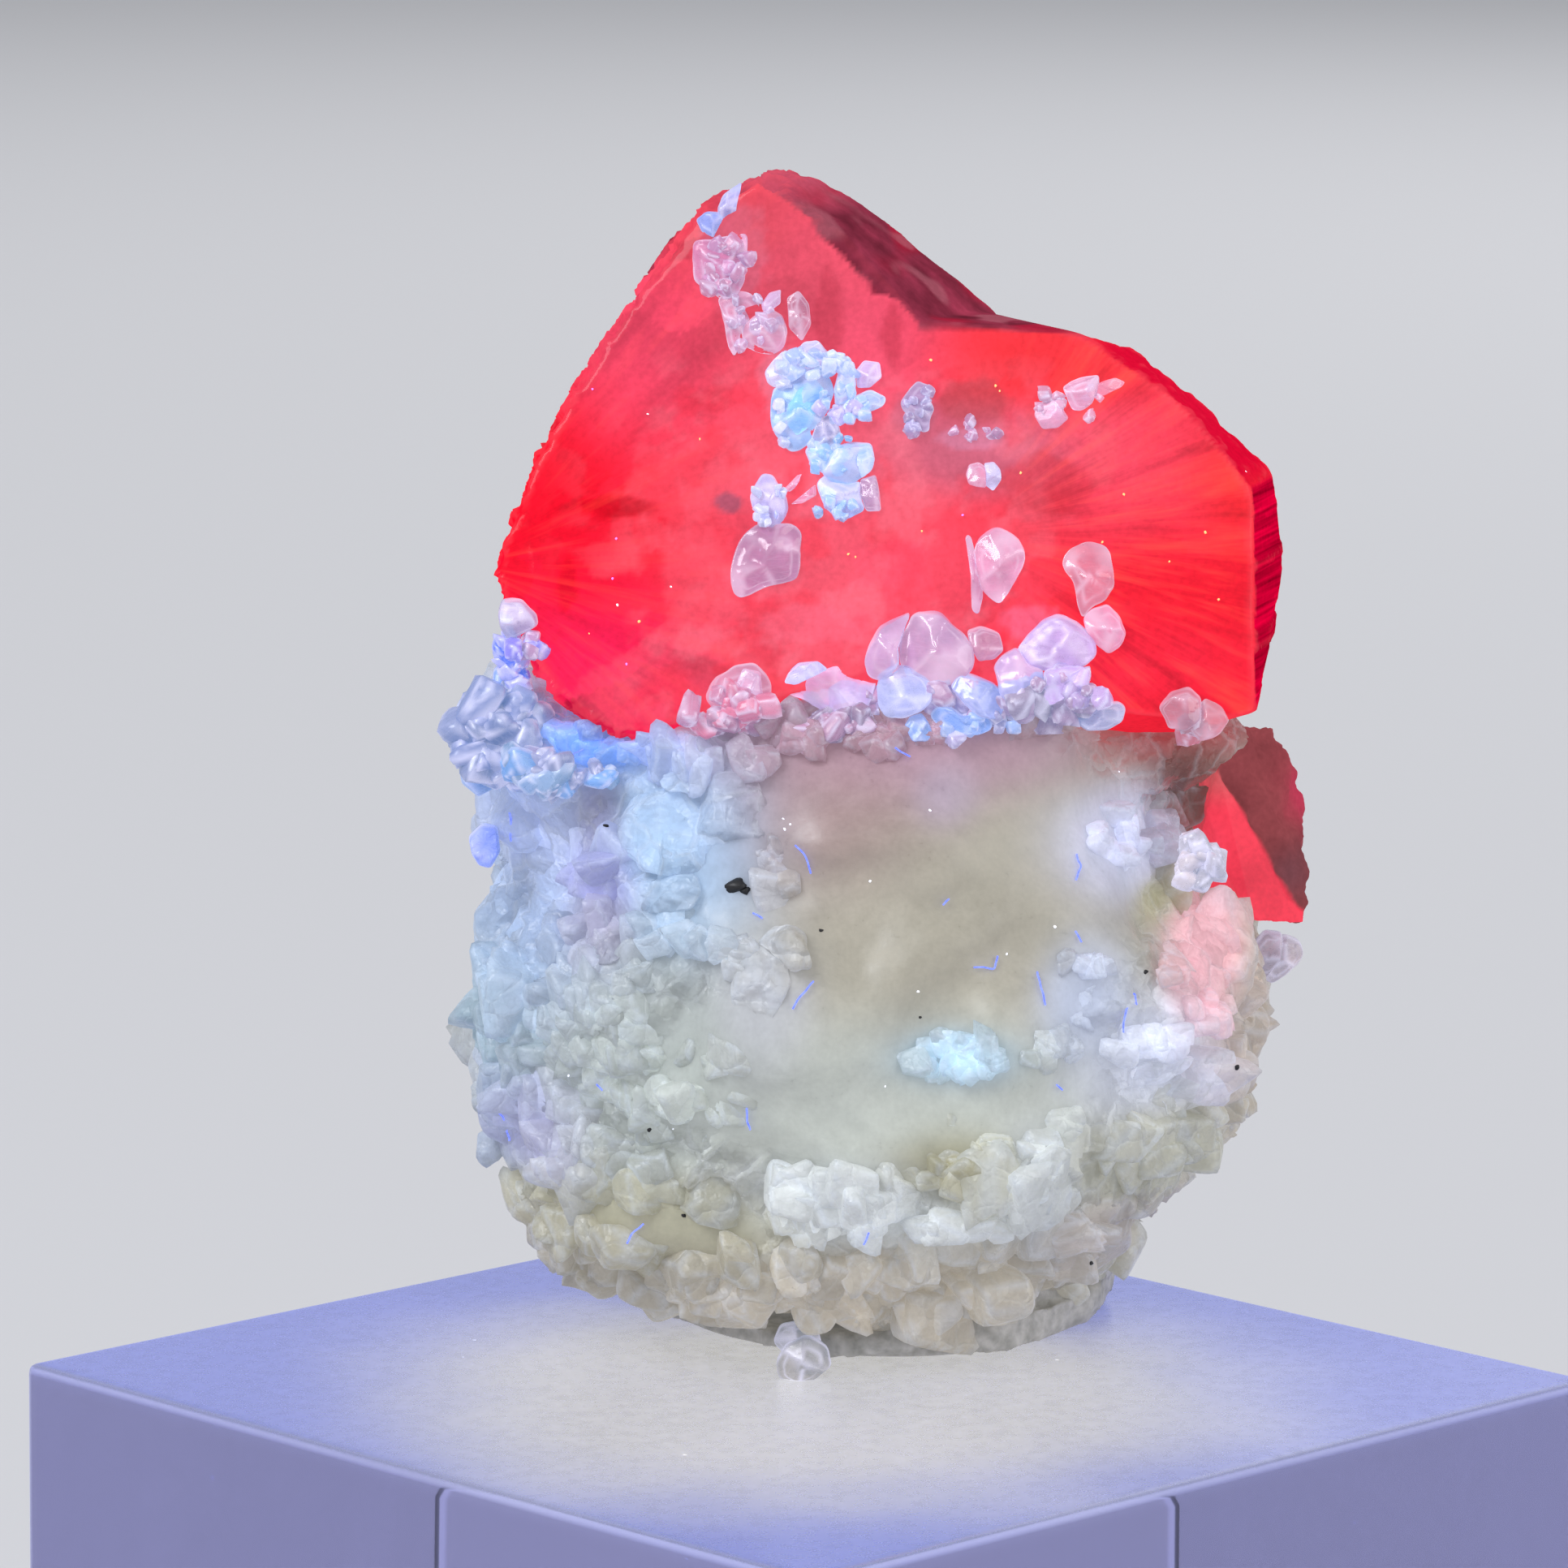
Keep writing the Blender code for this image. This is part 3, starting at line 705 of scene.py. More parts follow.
# %% Groups of marble grains
GRAIN_GROUPS = [
    ("white crest", (-3.7, 17.7), (0.8, 0.4), (0.8, 1.3), 7, 0.18, 14),
    ("violet grain", (-1.7, 17.8), (0.3, 0.2), (1.4, 1.3), 2, 0.16, 8),
    ("left column's head", (-8.4, 17.3), (0.6, 0.3), (1.2, 1.1), 4, -0.05, 9),
    ("violet knob", (-6.1, 14.4), (0.4, 0.4), (1.3, 1.2), 3, 0.10, 8),
    ("left lower plate", (-8.9, 10.9), (0.3, 0.5), (1.9, 2.1), 3, 0.05, 9),
    ("blue shelf", (-6.3, 18.0), (2.2, 0.45), (1.2, 0.9), 18, 0.14, 8),
    ("pink shelf", (-4.6, 18.9), (1.6, 0.4), (0.9, 0.8), 16, 0.05, 7),
    ("between blocks", (-4.5, 13.2), (2.4, 0.5), (1.2, 1.1), 9, 0.02, 8),
    ("left outline", (-9.0, 9.8), (0.8, 2.4), (1.3, 1.4), 20, -0.22, 9),
    ("low relief", (-6.0, 10.2), (2.6, 2.2), (1.2, 1.2), 42, -0.20, 8),
    ("low relief right", (-4.2, 8.4), (2.6, 1.8), (1.1, 1.0), 34, -0.27, 6),
    ("rhomb's side", (-2.0, 12.4), (0.5, 0.5), (0.8, 0.8), 5, 0.0, 9),
    ("left foot", (-7.8, 7.1), (1.1, 1.3), (1.5, 1.4), 12, -0.18, 8),
    ("pale ledge", (-6.2, 6.2), (2.2, 1.1), (1.6, 1.2), 15, -0.10, 6),
    ("beige foot", (-6.7, 3.2), (1.6, 1.1), (1.4, 1.3), 14, 0.06, 6),
    ("hanging scales", (0.6, 5.6), (1.7, 0.9), (1.3, 1.4), 16, 0.18, 7),
    ("scale below", (-0.2, 4.9), (0.9, 0.4), (1.0, 1.1), 6, 0.32, 8),
    ("bright shelf", (4.1, 5.0), (1.3, 0.15), (1.3, 0.8), 5, 0.42, 7),
    ("yellow hollow", (4.0, 6.6), (1.3, 0.7), (1.2, 1.0), 9, -0.22, 5),
    ("white lump", (6.4, 6.9), (0.4, 0.3), (0.9, 0.8), 4, 0.20, 7),
    ("white lumps below", (6.1, 5.5), (0.6, 0.6), (0.9, 0.9), 8, 0.12, 7),
    ("drips left", (-0.6, 3.3), (1.9, 0.5), (1.2, 1.4), 12, 0.16, 5),
    ("drips middle", (2.4, 3.6), (1.3, 0.5), (1.3, 1.5), 8, 0.12, 5),
    ("drop", (5.2, 2.7), (0.1, 0.1), (1.5, 1.9), 2, 0.22, 5),
    ("hanging rhomb", (3.4, 2.1), (0.1, 0.1), (2.0, 2.2), 2, 0.12, 8),
    ("left of the drop", (0.9, 2.2), (1.2, 0.5), (1.4, 1.4), 6, 0.02, 6),
    ("foot lumps", (-3.4, 2.4), (2.2, 0.7), (1.5, 1.5), 14, 0.06, 6),
    ("long shelf", (7.2, 4.4), (0.9, 0.2), (2.0, 1.0), 5, 0.10, 7),
    ("shelf under it", (7.2, 3.2), (1.0, 0.2), (1.8, 1.0), 4, 0.0, 6),
    ("right rim", (10.7, 7.0), (1.7, 1.0), (1.9, 1.3), 12, -0.22, 6),
    ("right outline", (12.6, 8.9), (0.6, 1.5), (1.5, 1.5), 10, -0.25, 6),
    ("white cluster", (9.1, 15.3), (1.2, 0.9), (0.9, 0.9), 20, 0.20, 11),
    ("clear edge grains", (10.6, 15.4), (0.6, 0.8), (1.2, 1.4), 7, 0.18, 13),
    ("pink grain's frost", (11.3, 11.0), (0.5, 1.0), (0.7, 0.8), 4, -0.02, 12),
    ("pink grain's foot", (11.3, 10.2), (0.5, 0.3), (1.1, 1.0), 4, 0.08, 10),
    ("white beside it", (10.2, 12.2), (0.2, 0.6), (0.9, 1.0), 3, 0.16, 9),
    ("clear plate right", (11.2, 8.7), (0.4, 0.2), (2.0, 1.5), 2, 0.12, 8),
    ("frost on the plate", (9.6, 9.9), (1.1, 0.3), (0.9, 0.8), 10, 0.14, 11),
    ("frosted crown", (7.6, 12.3), (0.7, 0.2), (0.7, 0.6), 6, 0.20, 10),
    ("small white", (6.7, 10.0), (0.8, 0.45), (0.9, 0.8), 10, 0.10, 8),
    ("pale blue cluster", (3.9, 9.75), (1.35, 0.55), (0.8, 0.75), 30, 0.22, 12),
    ("pink rim", (1.0, 18.6), (2.7, 0.45), (0.9, 0.8), 26, 0.12, 8),
    ("rim right", (7.9, 19.4), (1.6, 0.6), (1.2, 1.0), 14, 0.05, 8),
    ("lilac grains", (-0.8, 14.9), (0.7, 0.6), (1.2, 1.2), 5, 0.05, 7),
    ("under the waxy part", (4.3, 7.7), (3.2, 0.3), (1.4, 0.9), 9, -0.15, 4),
]
print(len(GRAIN_GROUPS), "groups of marble grains")

# %% [markdown]
# ## Traced blocks
#
# The larger blocks of the marble are traced one by one. A row gives a block's name, how
# thick it is and how far it stands out of the lump, both in millimetres, and its outline
# in photo pixels: x, y, x, y and so on.

# %% Blocks of marble
BLOCKS = [
    ("large oval block", 2.6, 0.75,
     [877, 958, 902, 955, 930, 963, 947, 981, 952, 1004, 945, 1038, 930, 1067, 884, 1093, 864, 1095,
      847, 1078, 856, 1021, 870, 992]),
    ("block beside it", 2.4, 0.60,
     [784, 992, 804, 981, 835, 981, 864, 992, 870, 1030, 866, 1078, 818, 1087, 790, 1078, 758, 1047,
      761, 1021]),
    ("block below", 2.0, 0.70,
     [755, 1110, 772, 1095, 833, 1084, 861, 1087, 864, 1107, 858, 1124, 835, 1133, 807, 1130, 778, 1140]),
    ("white crest", 1.2, 0.45,
     [806, 945, 835, 935, 850, 915, 861, 923, 870, 903, 884, 929, 887, 958, 848, 980, 813, 972]),
    ("violet grain", 1.5, 0.35, [887, 946, 890, 926, 913, 912, 936, 918, 943, 938, 936, 958, 913, 957]),
    ("recessed face", 1.2, 0.00, [703, 1027, 758, 1027, 758, 1050, 747, 1084, 718, 1088, 703, 1073]),
    ("left column", 2.4, 0.30,
     [626, 1004, 655, 995, 686, 1001, 701, 1027, 706, 1064, 703, 1095, 680, 1110, 632, 1107, 624, 1060]),
    ("left plate", 2.6, 0.35,
     [620, 1101, 655, 1110, 703, 1124, 698, 1156, 689, 1187, 669, 1222, 632, 1233, 603, 1219, 589, 1190,
      580, 1159, 597, 1130]),
    ("pink block", 1.8, 0.40,
     [726, 1144, 755, 1136, 784, 1162, 778, 1182, 755, 1193, 732, 1193, 721, 1170]),
    ("tilted rhomb", 2.2, 0.50,
     [895, 1226, 909, 1189, 930, 1172, 968, 1190, 975, 1215, 966, 1245, 933, 1293, 905, 1293, 895, 1264]),
    ("rhomb's cap", 1.3, 0.55,
     [932, 1172, 950, 1155, 975, 1150, 992, 1162, 999, 1198, 975, 1200, 962, 1185]),
    ("clear grain lower left", 1.6, 0.30,
     [630, 1365, 662, 1352, 690, 1362, 694, 1392, 672, 1412, 640, 1405]),
    ("bright scale", 1.6, 0.85,
     [1079, 1464, 1102, 1449, 1129, 1468, 1142, 1495, 1125, 1510, 1098, 1516, 1079, 1506, 1073, 1483]),
    ("scale beside it", 1.4, 0.65,
     [1041, 1468, 1075, 1470, 1076, 1500, 1048, 1521, 1033, 1533, 1010, 1531, 999, 1506, 1014, 1487]),
    ("bright shelf", 1.4, 0.70,
     [1129, 1512, 1148, 1502, 1201, 1489, 1206, 1503, 1198, 1529, 1163, 1537, 1136, 1527]),
    ("white lump", 1.3, 0.45,
     [1251, 1441, 1263, 1424, 1293, 1412, 1316, 1422, 1314, 1447, 1286, 1462, 1255, 1470]),
    ("white lump below", 1.2, 0.35,
     [1251, 1483, 1278, 1468, 1301, 1464, 1303, 1487, 1278, 1506, 1247, 1525, 1243, 1506]),
    ("hanging rhomb", 2.0, 0.55,
     [1098, 1617, 1102, 1587, 1140, 1579, 1182, 1590, 1178, 1613, 1155, 1633, 1121, 1646]),
    ("drop", 1.6, 0.60, [1201, 1590, 1205, 1560, 1236, 1552, 1253, 1575, 1244, 1598, 1222, 1611]),
    ("lump at the left", 1.4, 0.50, [941, 1594, 956, 1575, 991, 1587, 983, 1617, 956, 1613]),
    ("lump above it", 1.6, 0.45,
     [945, 1560, 964, 1533, 999, 1533, 1022, 1552, 1018, 1590, 1000, 1606, 985, 1580]),
    ("middle lump", 1.4, 0.50, [1022, 1594, 1033, 1579, 1060, 1583, 1052, 1606, 1033, 1611]),
    ("lowest lump", 1.6, 0.30, [1056, 1644, 1071, 1598, 1094, 1594, 1110, 1644, 1087, 1663]),
    ("round lump", 1.3, 0.65, [1048, 1560, 1067, 1548, 1094, 1556, 1090, 1575, 1067, 1581, 1052, 1571]),
    ("long shelf", 2.0, 0.55,
     [1259, 1541, 1293, 1514, 1343, 1476, 1412, 1478, 1400, 1514, 1366, 1531, 1301, 1547]),
    ("pink grain", 2.4, 0.35,
     [1466, 1151, 1484, 1116, 1519, 1104, 1536, 1128, 1548, 1157, 1555, 1198, 1549, 1230, 1533, 1248,
      1521, 1283, 1492, 1305, 1469, 1286, 1460, 1233, 1463, 1189]),
    ("clear edge grain", 1.4, 0.55,
     [1472, 1046, 1486, 1043, 1501, 1066, 1512, 1090, 1498, 1097, 1478, 1087]),
    ("lilac edge grain", 1.1, 0.45, [1440, 1028, 1463, 1021, 1475, 1034, 1469, 1049, 1445, 1049]),
    ("frosted block", 1.4, 0.45, [1366, 1013, 1392, 1020, 1404, 1057, 1387, 1081, 1357, 1072, 1352, 1049]),
    ("grey grain", 1.8, 0.40,
     [1302, 1195, 1340, 1187, 1366, 1213, 1378, 1242, 1372, 1277, 1352, 1280, 1319, 1263, 1299, 1233]),
    ("clear plate", 1.5, 0.55,
     [1387, 1324, 1404, 1313, 1440, 1307, 1472, 1307, 1463, 1327, 1440, 1342, 1416, 1346, 1395, 1336]),
    ("plate behind it", 1.7, 0.25,
     [1422, 1348, 1470, 1318, 1498, 1298, 1516, 1292, 1519, 1321, 1498, 1345, 1469, 1363, 1434, 1373]),
    ("small white", 1.2, 0.35,
     [1258, 1298, 1272, 1275, 1307, 1269, 1328, 1280, 1334, 1301, 1310, 1319, 1275, 1316]),
]
print(len(BLOCKS), "blocks")

# %% [markdown]
# ## Finding the skin and scattering grains
#
# A ray sent in from the front finds the skin behind a place. The grains of a group fall
# at random in its ellipse. Loose grains fall anywhere on the lump, except on its smooth
# front and in the crystals' seats. Every random draw has a fixed seed.

# %% Scatter the grains
CORE_DEPTH = 0.28
LOOSE_GRAINS = 620
EXTRA_CRISP = 5
RAY_START = -60
SMOOTH_PARTS = [(2.9, 14.3, 6.4, 5.0), (1.9, 9.4, 6.4, 3.0), (-4.4, 4.4, 3.4, 0.8)]

lump_points, lump_faces, lump_normals = copy_of_node("calcite_matrix")
lump_tree = BVHTree.FromPolygons(lump_points.tolist(), lump_faces)
crystal_tree = BVHTree.FromPolygons(crystal_points.tolist(), crystal_faces)
side_tree = BVHTree.FromPolygons(side_points.tolist(), side_faces)


def first_hit(tree, x, z):
    """Where a line from the front, along y, first meets a solid, and the normal there."""
    return tree.ray_cast(Vector((x, RAY_START, z)), Vector((0, 1, 0)))[:2]


def on_front(x, z):
    """The lump's skin and its normal straight behind a place on the front."""
    hit, normal = first_hit(lump_tree, x, z)
    if hit is None:
        hit, normal, _, _ = lump_tree.find_nearest(Vector((x, 3, z)))
    return np.array(hit), np.array(normal)


def waxiness(points):
    """1 on the smooth front of the lump, easing to 0 outside its named ellipses."""
    inside = np.zeros(len(points))
    for middle_x, middle_z, half_x, half_z in SMOOTH_PARTS:
        out = np.hypot((points[:, 0] - middle_x) / half_x, (points[:, 2] - middle_z) / half_z)
        inside = np.maximum(inside, ease(1.12, 0.92, out))
    return inside * ease(5.0, 3.0, points[:, 1])


def scatter_groups(groups, seed):
    """Middles, sizes, crispness and largest turn for the grains of every named group."""
    chance = np.random.default_rng(seed)
    middles, sizes, crisps, turns = [], [], [], []
    for _, (x, z), (wide, high), (width, height), count, lift, crisp in groups:
        for _ in range(count):
            angle, radius = chance.uniform(0, 2 * math.pi), math.sqrt(chance.uniform())
            scale = chance.uniform(0.75, 1.25, 2) if count > 1 else np.ones(2)
            hit, normal = on_front(x + wide * radius * math.cos(angle), z + high * radius * math.sin(angle))
            mean = (width + height) / 2
            middles.append(hit + normal * (lift * mean - 0.15))
            sizes.append((width * scale[0], 0.8 * mean * scale.mean(), height * scale[1]))
            crisps.append(crisp + EXTRA_CRISP)
            turns.append(0.22 if count == 1 else 0.7)
    return np.array(middles), np.array(sizes), np.array(crisps), np.array(turns)


def scatter_loose(count, seed):
    """Grains all over the lump, but not on its waxy front or inside the crystals' seats."""
    chance = np.random.default_rng(seed)
    corners = lump_points[np.array(lump_faces)]
    out = np.cross(corners[:, 1] - corners[:, 0], corners[:, 2] - corners[:, 0])
    area = np.linalg.norm(out, axis=1)
    picked = chance.choice(len(corners), count, p=area / area.sum())
    u, v = chance.uniform(size=(2, count, 1))
    u, v = np.where(u + v > 1, 1 - u, u), np.where(u + v > 1, 1 - v, v)
    first, second, third = corners[picked].transpose(1, 0, 2)
    spots = first + u * (second - first) + v * (third - first)
    out = (out / area[:, None])[picked]
    clear = [min(crystal_tree.find_nearest(Vector(spot))[3], side_tree.find_nearest(Vector(spot))[3]) > 0.42
             for spot in spots]
    keep = (waxiness(spots) < 0.3) & (spots[:, 2] > 1.2) & np.array(clear)
    size = chance.uniform(0.8, 2.0, count)
    lift = np.where(spots[:, 1] < 3, -0.40, -0.28)
    return ((spots + out * (lift * size)[:, None])[keep],
            (size[:, None] * chance.uniform(0.8, 1.2, (count, 3)))[keep])


grain_middles, grain_sizes, grain_crisps, grain_turns = scatter_groups(GRAIN_GROUPS, 3)
loose_middles, loose_sizes = scatter_loose(LOOSE_GRAINS, 5)
print(len(grain_middles), "placed grains and", len(loose_middles), "loose ones")

# %% [markdown]
# ## The core of the lump
#
# The CAD lump, drawn in a little where grains will cover it, is remeshed finely. A plug
# under the crystal closes the narrow seat that the CAD leaves round it, because the real
# crystal grew out of the stone with no gap. Slow waves and fine pits make it waxy.

# %% Weld and roughen the core
CORE_VOXEL = 0.17
CORE_SMOOTHING = 90
PLUG_MIDDLE, PLUG_SIZE = (2.2, 6.6, 17.6), (21.0, 11.0, 5.0)

seat = ease(0.6, 0.4, np.array([crystal_tree.find_nearest(Vector(point))[3] for point in lump_points]))
inset = np.where(seat > 0.5, 0.25, -CORE_DEPTH * (1 - waxiness(lump_points)))
core_points = lump_points + lump_normals * inset[:, None]
core = weld("marble_core", [(core_points, lump_faces), egg(PLUG_MIDDLE, PLUG_SIZE)], CORE_VOXEL,
            smoothing=CORE_SMOOTHING)
points, normals = read_points(core.data)
waxy = waxiness(points)
move = 0.10 * rough(points, 3.2, 2, 60) + 0.035 * rough(points, 0.8, 2, 61)
bent = points + 0.3 * wander(points, 1.0, 63)[:, None]
for size, step, slope in ((1.9, 0.16, 0.42), (0.9, 0.06, 0.20)):
    _, _, number, tilt = cells_of(bent, size, 65)
    move += (step * number + slope * tilt) * (1 - waxy)
points = points + normals * move[:, None]
write_points(core.data, points)
print("core points", len(points))

# %% [markdown]
# ## The tints of the marble
#
# White marble takes on the light round it, and these tints paint that light in: rose
# near the glowing crystal, blue at the upper left where the lamp strikes, and shade in the
# deep pocket. It is cream in the waxy middle. Every grain is a little lighter or darker
# than the next, and its thin edges gather light, which is a painted highlight.

# %% Tint the marble
MARBLE_BASE = (0.68, 0.68, 0.64)
# Painted light and shade among these places: rose from the crystal's glow, blue and violet where the lamp
# strikes, the brown shadow and the dark pocket.
MARBLE_PLACES = [
    ("rose under the crystal", (0.6, -1.0, 18.3), (4.0, 6, 1.3), (0.69, 0.54, 0.61)),
    ("brown shadow", (-0.2, -2.0, 16.3), (2.4, 6, 1.7), (0.62, 0.51, 0.51)),
    ("pink shelf", (-4.6, -1.0, 19.0), (2.4, 6, 0.6), (0.66, 0.52, 0.70)),
    ("lamp blue", (-6.3, -1.0, 18.0), (1.5, 6, 0.6), (0.44, 0.66, 1.00)),
    ("blue shoulder", (-8.9, 0.0, 17.2), (1.6, 6, 1.2), (0.60, 0.72, 0.95)),
    ("violet knob", (-6.1, -1.0, 14.4), (0.8, 4, 0.8), (0.66, 0.66, 0.90)),
    ("recessed face", (-6.2, -1.0, 16.0), (0.6, 4, 0.9), (0.58, 0.56, 0.68)),
    ("large blocks", (-3.4, -3.0, 15.9), (1.9, 6, 2.4), (0.67, 0.80, 0.945)),
    ("left column", (-8.2, 0.0, 15.6), (1.4, 6, 1.8), (0.75, 0.79, 0.93)),
    ("left plate", (-8.2, 0.0, 12.6), (2.0, 6, 2.2), (0.65, 0.73, 0.87)),
    ("pink block", (-6.2, -1.0, 13.0), (0.8, 4, 0.9), (0.72, 0.68, 0.78)),
    ("left outline", (-9.4, 1.0, 9.2), (1.4, 6, 2.4), (0.61, 0.70, 0.75)),
    ("low left", (-5.5, -2.0, 9.8), (2.6, 6, 2.2), (0.69, 0.72, 0.71)),
    ("lilac left foot", (-8.4, 0.0, 7.2), (1.2, 6, 1.1), (0.70, 0.69, 0.84)),
    ("cream middle", (2.6, -3.0, 13.6), (4.4, 6, 2.4), (0.65, 0.63, 0.575)),
    ("clean middle", (2.4, -3.4, 9.0), (4.4, 6, 1.6), (0.74, 0.76, 0.73)),
    ("pale blue cluster", (3.9, -3.6, 9.7), (1.3, 4, 0.6), (0.66, 0.84, 0.98)),
    ("rhomb", (-1.4, -3.6, 11.4), (1.0, 4, 1.6), (0.75, 0.76, 0.79)),
    ("lilac smudge", (3.6, -3.0, 17.0), (0.7, 6, 0.7), (0.68, 0.62, 0.70)),
    ("yellow spot", (9.9, -2.0, 13.5), (0.5, 6, 0.4), (0.69, 0.68, 0.55)),
    ("white cluster", (9.4, -2.2, 15.2), (1.8, 6, 1.0), (0.82, 0.84, 0.95)),
    ("pink grain", (11.6, -1.0, 12.0), (0.9, 4, 2.0), (0.98, 0.74, 0.79)),
    # Painted shade: the pocket lies deep in shadow.
    ("pocket", (10.8, 7.0, 15.9), (0.9, 8, 1.6), (0.46, 0.27, 0.25)),
    ("pocket roof", (11.2, 2.0, 18.5), (1.9, 7, 0.8), (0.66, 0.34, 0.36)),
    ("clear plate", (9.9, -2.0, 9.3), (1.9, 6, 1.2), (0.82, 0.84, 0.91)),
    ("grey grain", (7.6, -3.0, 11.2), (0.9, 4, 1.3), (0.74, 0.78, 0.88)),
    ("right outline", (13.2, 3.0, 8.8), (1.4, 8, 2.6), (0.72, 0.67, 0.62)),
    ("right rim", (10.6, -1.0, 6.6), (2.4, 6, 1.0), (0.69, 0.69, 0.64)),
    ("pale scales", (1.6, -2.6, 5.3), (2.4, 5, 1.0), (0.80, 0.82, 0.83)),
    ("white lumps", (6.2, -2.6, 6.2), (0.9, 5, 1.3), (0.76, 0.78, 0.79)),
    ("yellow hollow", (4.0, -2.0, 6.6), (1.3, 5, 0.9), (0.59, 0.57, 0.45)),
    ("long shelf", (8.4, 0.0, 4.1), (1.8, 6, 0.7), (0.67, 0.645, 0.635)),
    ("beige foot", (1.0, -0.5, 2.6), (4.0, 6, 1.2), (0.71, 0.68, 0.63)),
    ("grey foot", (-6.0, 0.0, 2.8), (2.6, 6, 1.2), (0.65, 0.63, 0.59)),
    ("yellow cream", (-4.6, -1.8, 4.4), (3.2, 6, 0.9), (0.68, 0.67, 0.58)),
    ("back", (2.0, 16.0, 12.0), (14, 5, 14), (0.72, 0.72, 0.70)),
]
# Painted highlight: the grains' thin edges are paled towards this blue-white.
EDGE_HIGHLIGHT, EDGE_HIGHLIGHT_SHARE = linear((0.84, 0.89, 0.98)), 0.20


def marble_colour_and_light(points, shade=0.0):
    """Colour of the marble at each point, with its painted light and shade: blended places x slow mottling x
    the grain's own shade.
    """
    tint = blend_places(points, MARBLE_BASE, 0.03, MARBLE_PLACES)
    mottle = 1 + 0.08 * rough(points, 2.6, 3, 73) + 0.05 * wander(points, 0.5, 79)
    return tint * (mottle * (1 + shade))[:, None]


height = ridges(core.data, points, read_points(core.data)[1])
add_attributes(core.data, tint=marble_colour_and_light(points), edge=0.4 * ease(0.004, 0.03, height) * (1 - waxy),
               grainy=1 - waxy)
add_vectors(core.data, "own", points)
settle(core, "calcite_matrix", slot="marble")

# %% [markdown]
# ## The grains of the marble
#
# Each grain stays a closed stone of its own and sinks into its neighbours, so the
# creases between them stay sharp. They are joined in a few meshes by size, because small
# grains need fewer faces. A grain's own place goes along as an attribute, so that its
# layers run with its cleavage and not with its neighbour's.

# %% Make the marble's grains
LARGE_GRAIN = 1.25
LOOSE_CRISP = 13


def marble_blocks(name, blocks, seed):
    """The traced stones in one mesh, each set on the lump and leaning as its skin does there."""
    stones, shades, rims = [], [], []
    chance = np.random.default_rng(seed)
    for number, (_, thick, proud, outline) in enumerate(blocks):
        middle = seen_at(outline, -1.0).mean(0)
        hit, normal = on_front(middle[0], middle[2])
        lean = np.clip(-normal[[0, 2]] / min(normal[1], -0.3), -0.7, 0.7)
        corners = seen_at(outline, hit[1] - proud)[:, [0, 2]]
        points, faces, rim = pebble(corners, thick, hit[1] - proud + thick / 2, seed + 7 * number, lean,
                                    uneven=0.14, steps=0.06, facets=7)
        stones.append((points, faces))
        shades.append(np.full(len(points), chance.normal(0.02, 0.05)))
        rims.append(rim)
    points, faces = join(stones)
    edge = np.concatenate(rims)
    tint = marble_colour_and_light(points, np.concatenate(shades))
    # Painted highlight along the edges.
    tint += (EDGE_HIGHLIGHT - tint) * (EDGE_HIGHLIGHT_SHARE * edge)[:, None]
    piece = make_piece(name, points, faces, tint=tint, edge=edge, grainy=np.ones(len(points)))
    add_vectors(piece.data, "own", points[:, [0, 2, 1]])
    return settle(piece, "calcite_matrix", slot="marble")


def marble_grains(name, middles, sizes, crisps, turns, seed, count):
    """One mesh of many stones with a tint, an edge value and their own places."""
    points, faces, edge, own = grains(middles, sizes, seed, crisp=crisps, count=count, most=turns)
    chance = np.random.default_rng(seed + 1)
    per = len(points) // len(middles)
    shade = np.repeat(chance.normal(0, 0.06, len(middles)), per)
    middle = np.repeat(np.asarray(middles), per, axis=0)
    points = points + 0.03 * rough_shift(own, 0.7, 2, seed)
    tint = 0.7 * marble_colour_and_light(middle, shade) + 0.3 * marble_colour_and_light(points, shade)
    # Painted highlight along the edges.
    tint += (EDGE_HIGHLIGHT - tint) * (EDGE_HIGHLIGHT_SHARE * edge)[:, None]
    piece = make_piece(name, points, faces, tint=tint, edge=edge, grainy=np.full(len(points), 0.5))
    add_vectors(piece.data, "own", own)
    return settle(piece, "calcite_matrix", slot="marble")


large = grain_sizes.mean(1) > LARGE_GRAIN
marble_pieces = [core, marble_blocks("marble_blocks", BLOCKS, 200)]
for name, kept, seed, count in (("marble_large_grains", large, 11, 9),
                                ("marble_small_grains", ~large, 12, 6)):
    marble_pieces.append(marble_grains(name, grain_middles[kept], grain_sizes[kept], grain_crisps[kept],
                                       grain_turns[kept], seed, count))
loose_count = len(loose_middles)
marble_pieces.append(marble_grains("marble_loose_grains", loose_middles, loose_sizes,
                                   np.full(loose_count, LOOSE_CRISP), np.full(loose_count, math.pi), 13, 6))
print("marble pieces", len(marble_pieces))

# %% [markdown]
# ## The clear grains
#
# Clear and milky calcite grows on the crystal's face and along its lower rim. Each stone
# is traced on the photograph. A row gives how thick the stone is and how far it stands
# out of the leaning face, both in millimetres, then its tone and its outline in photo
# pixels: x, y, x, y and so on. A stone at the side has its depth in place of the latter
# distance.

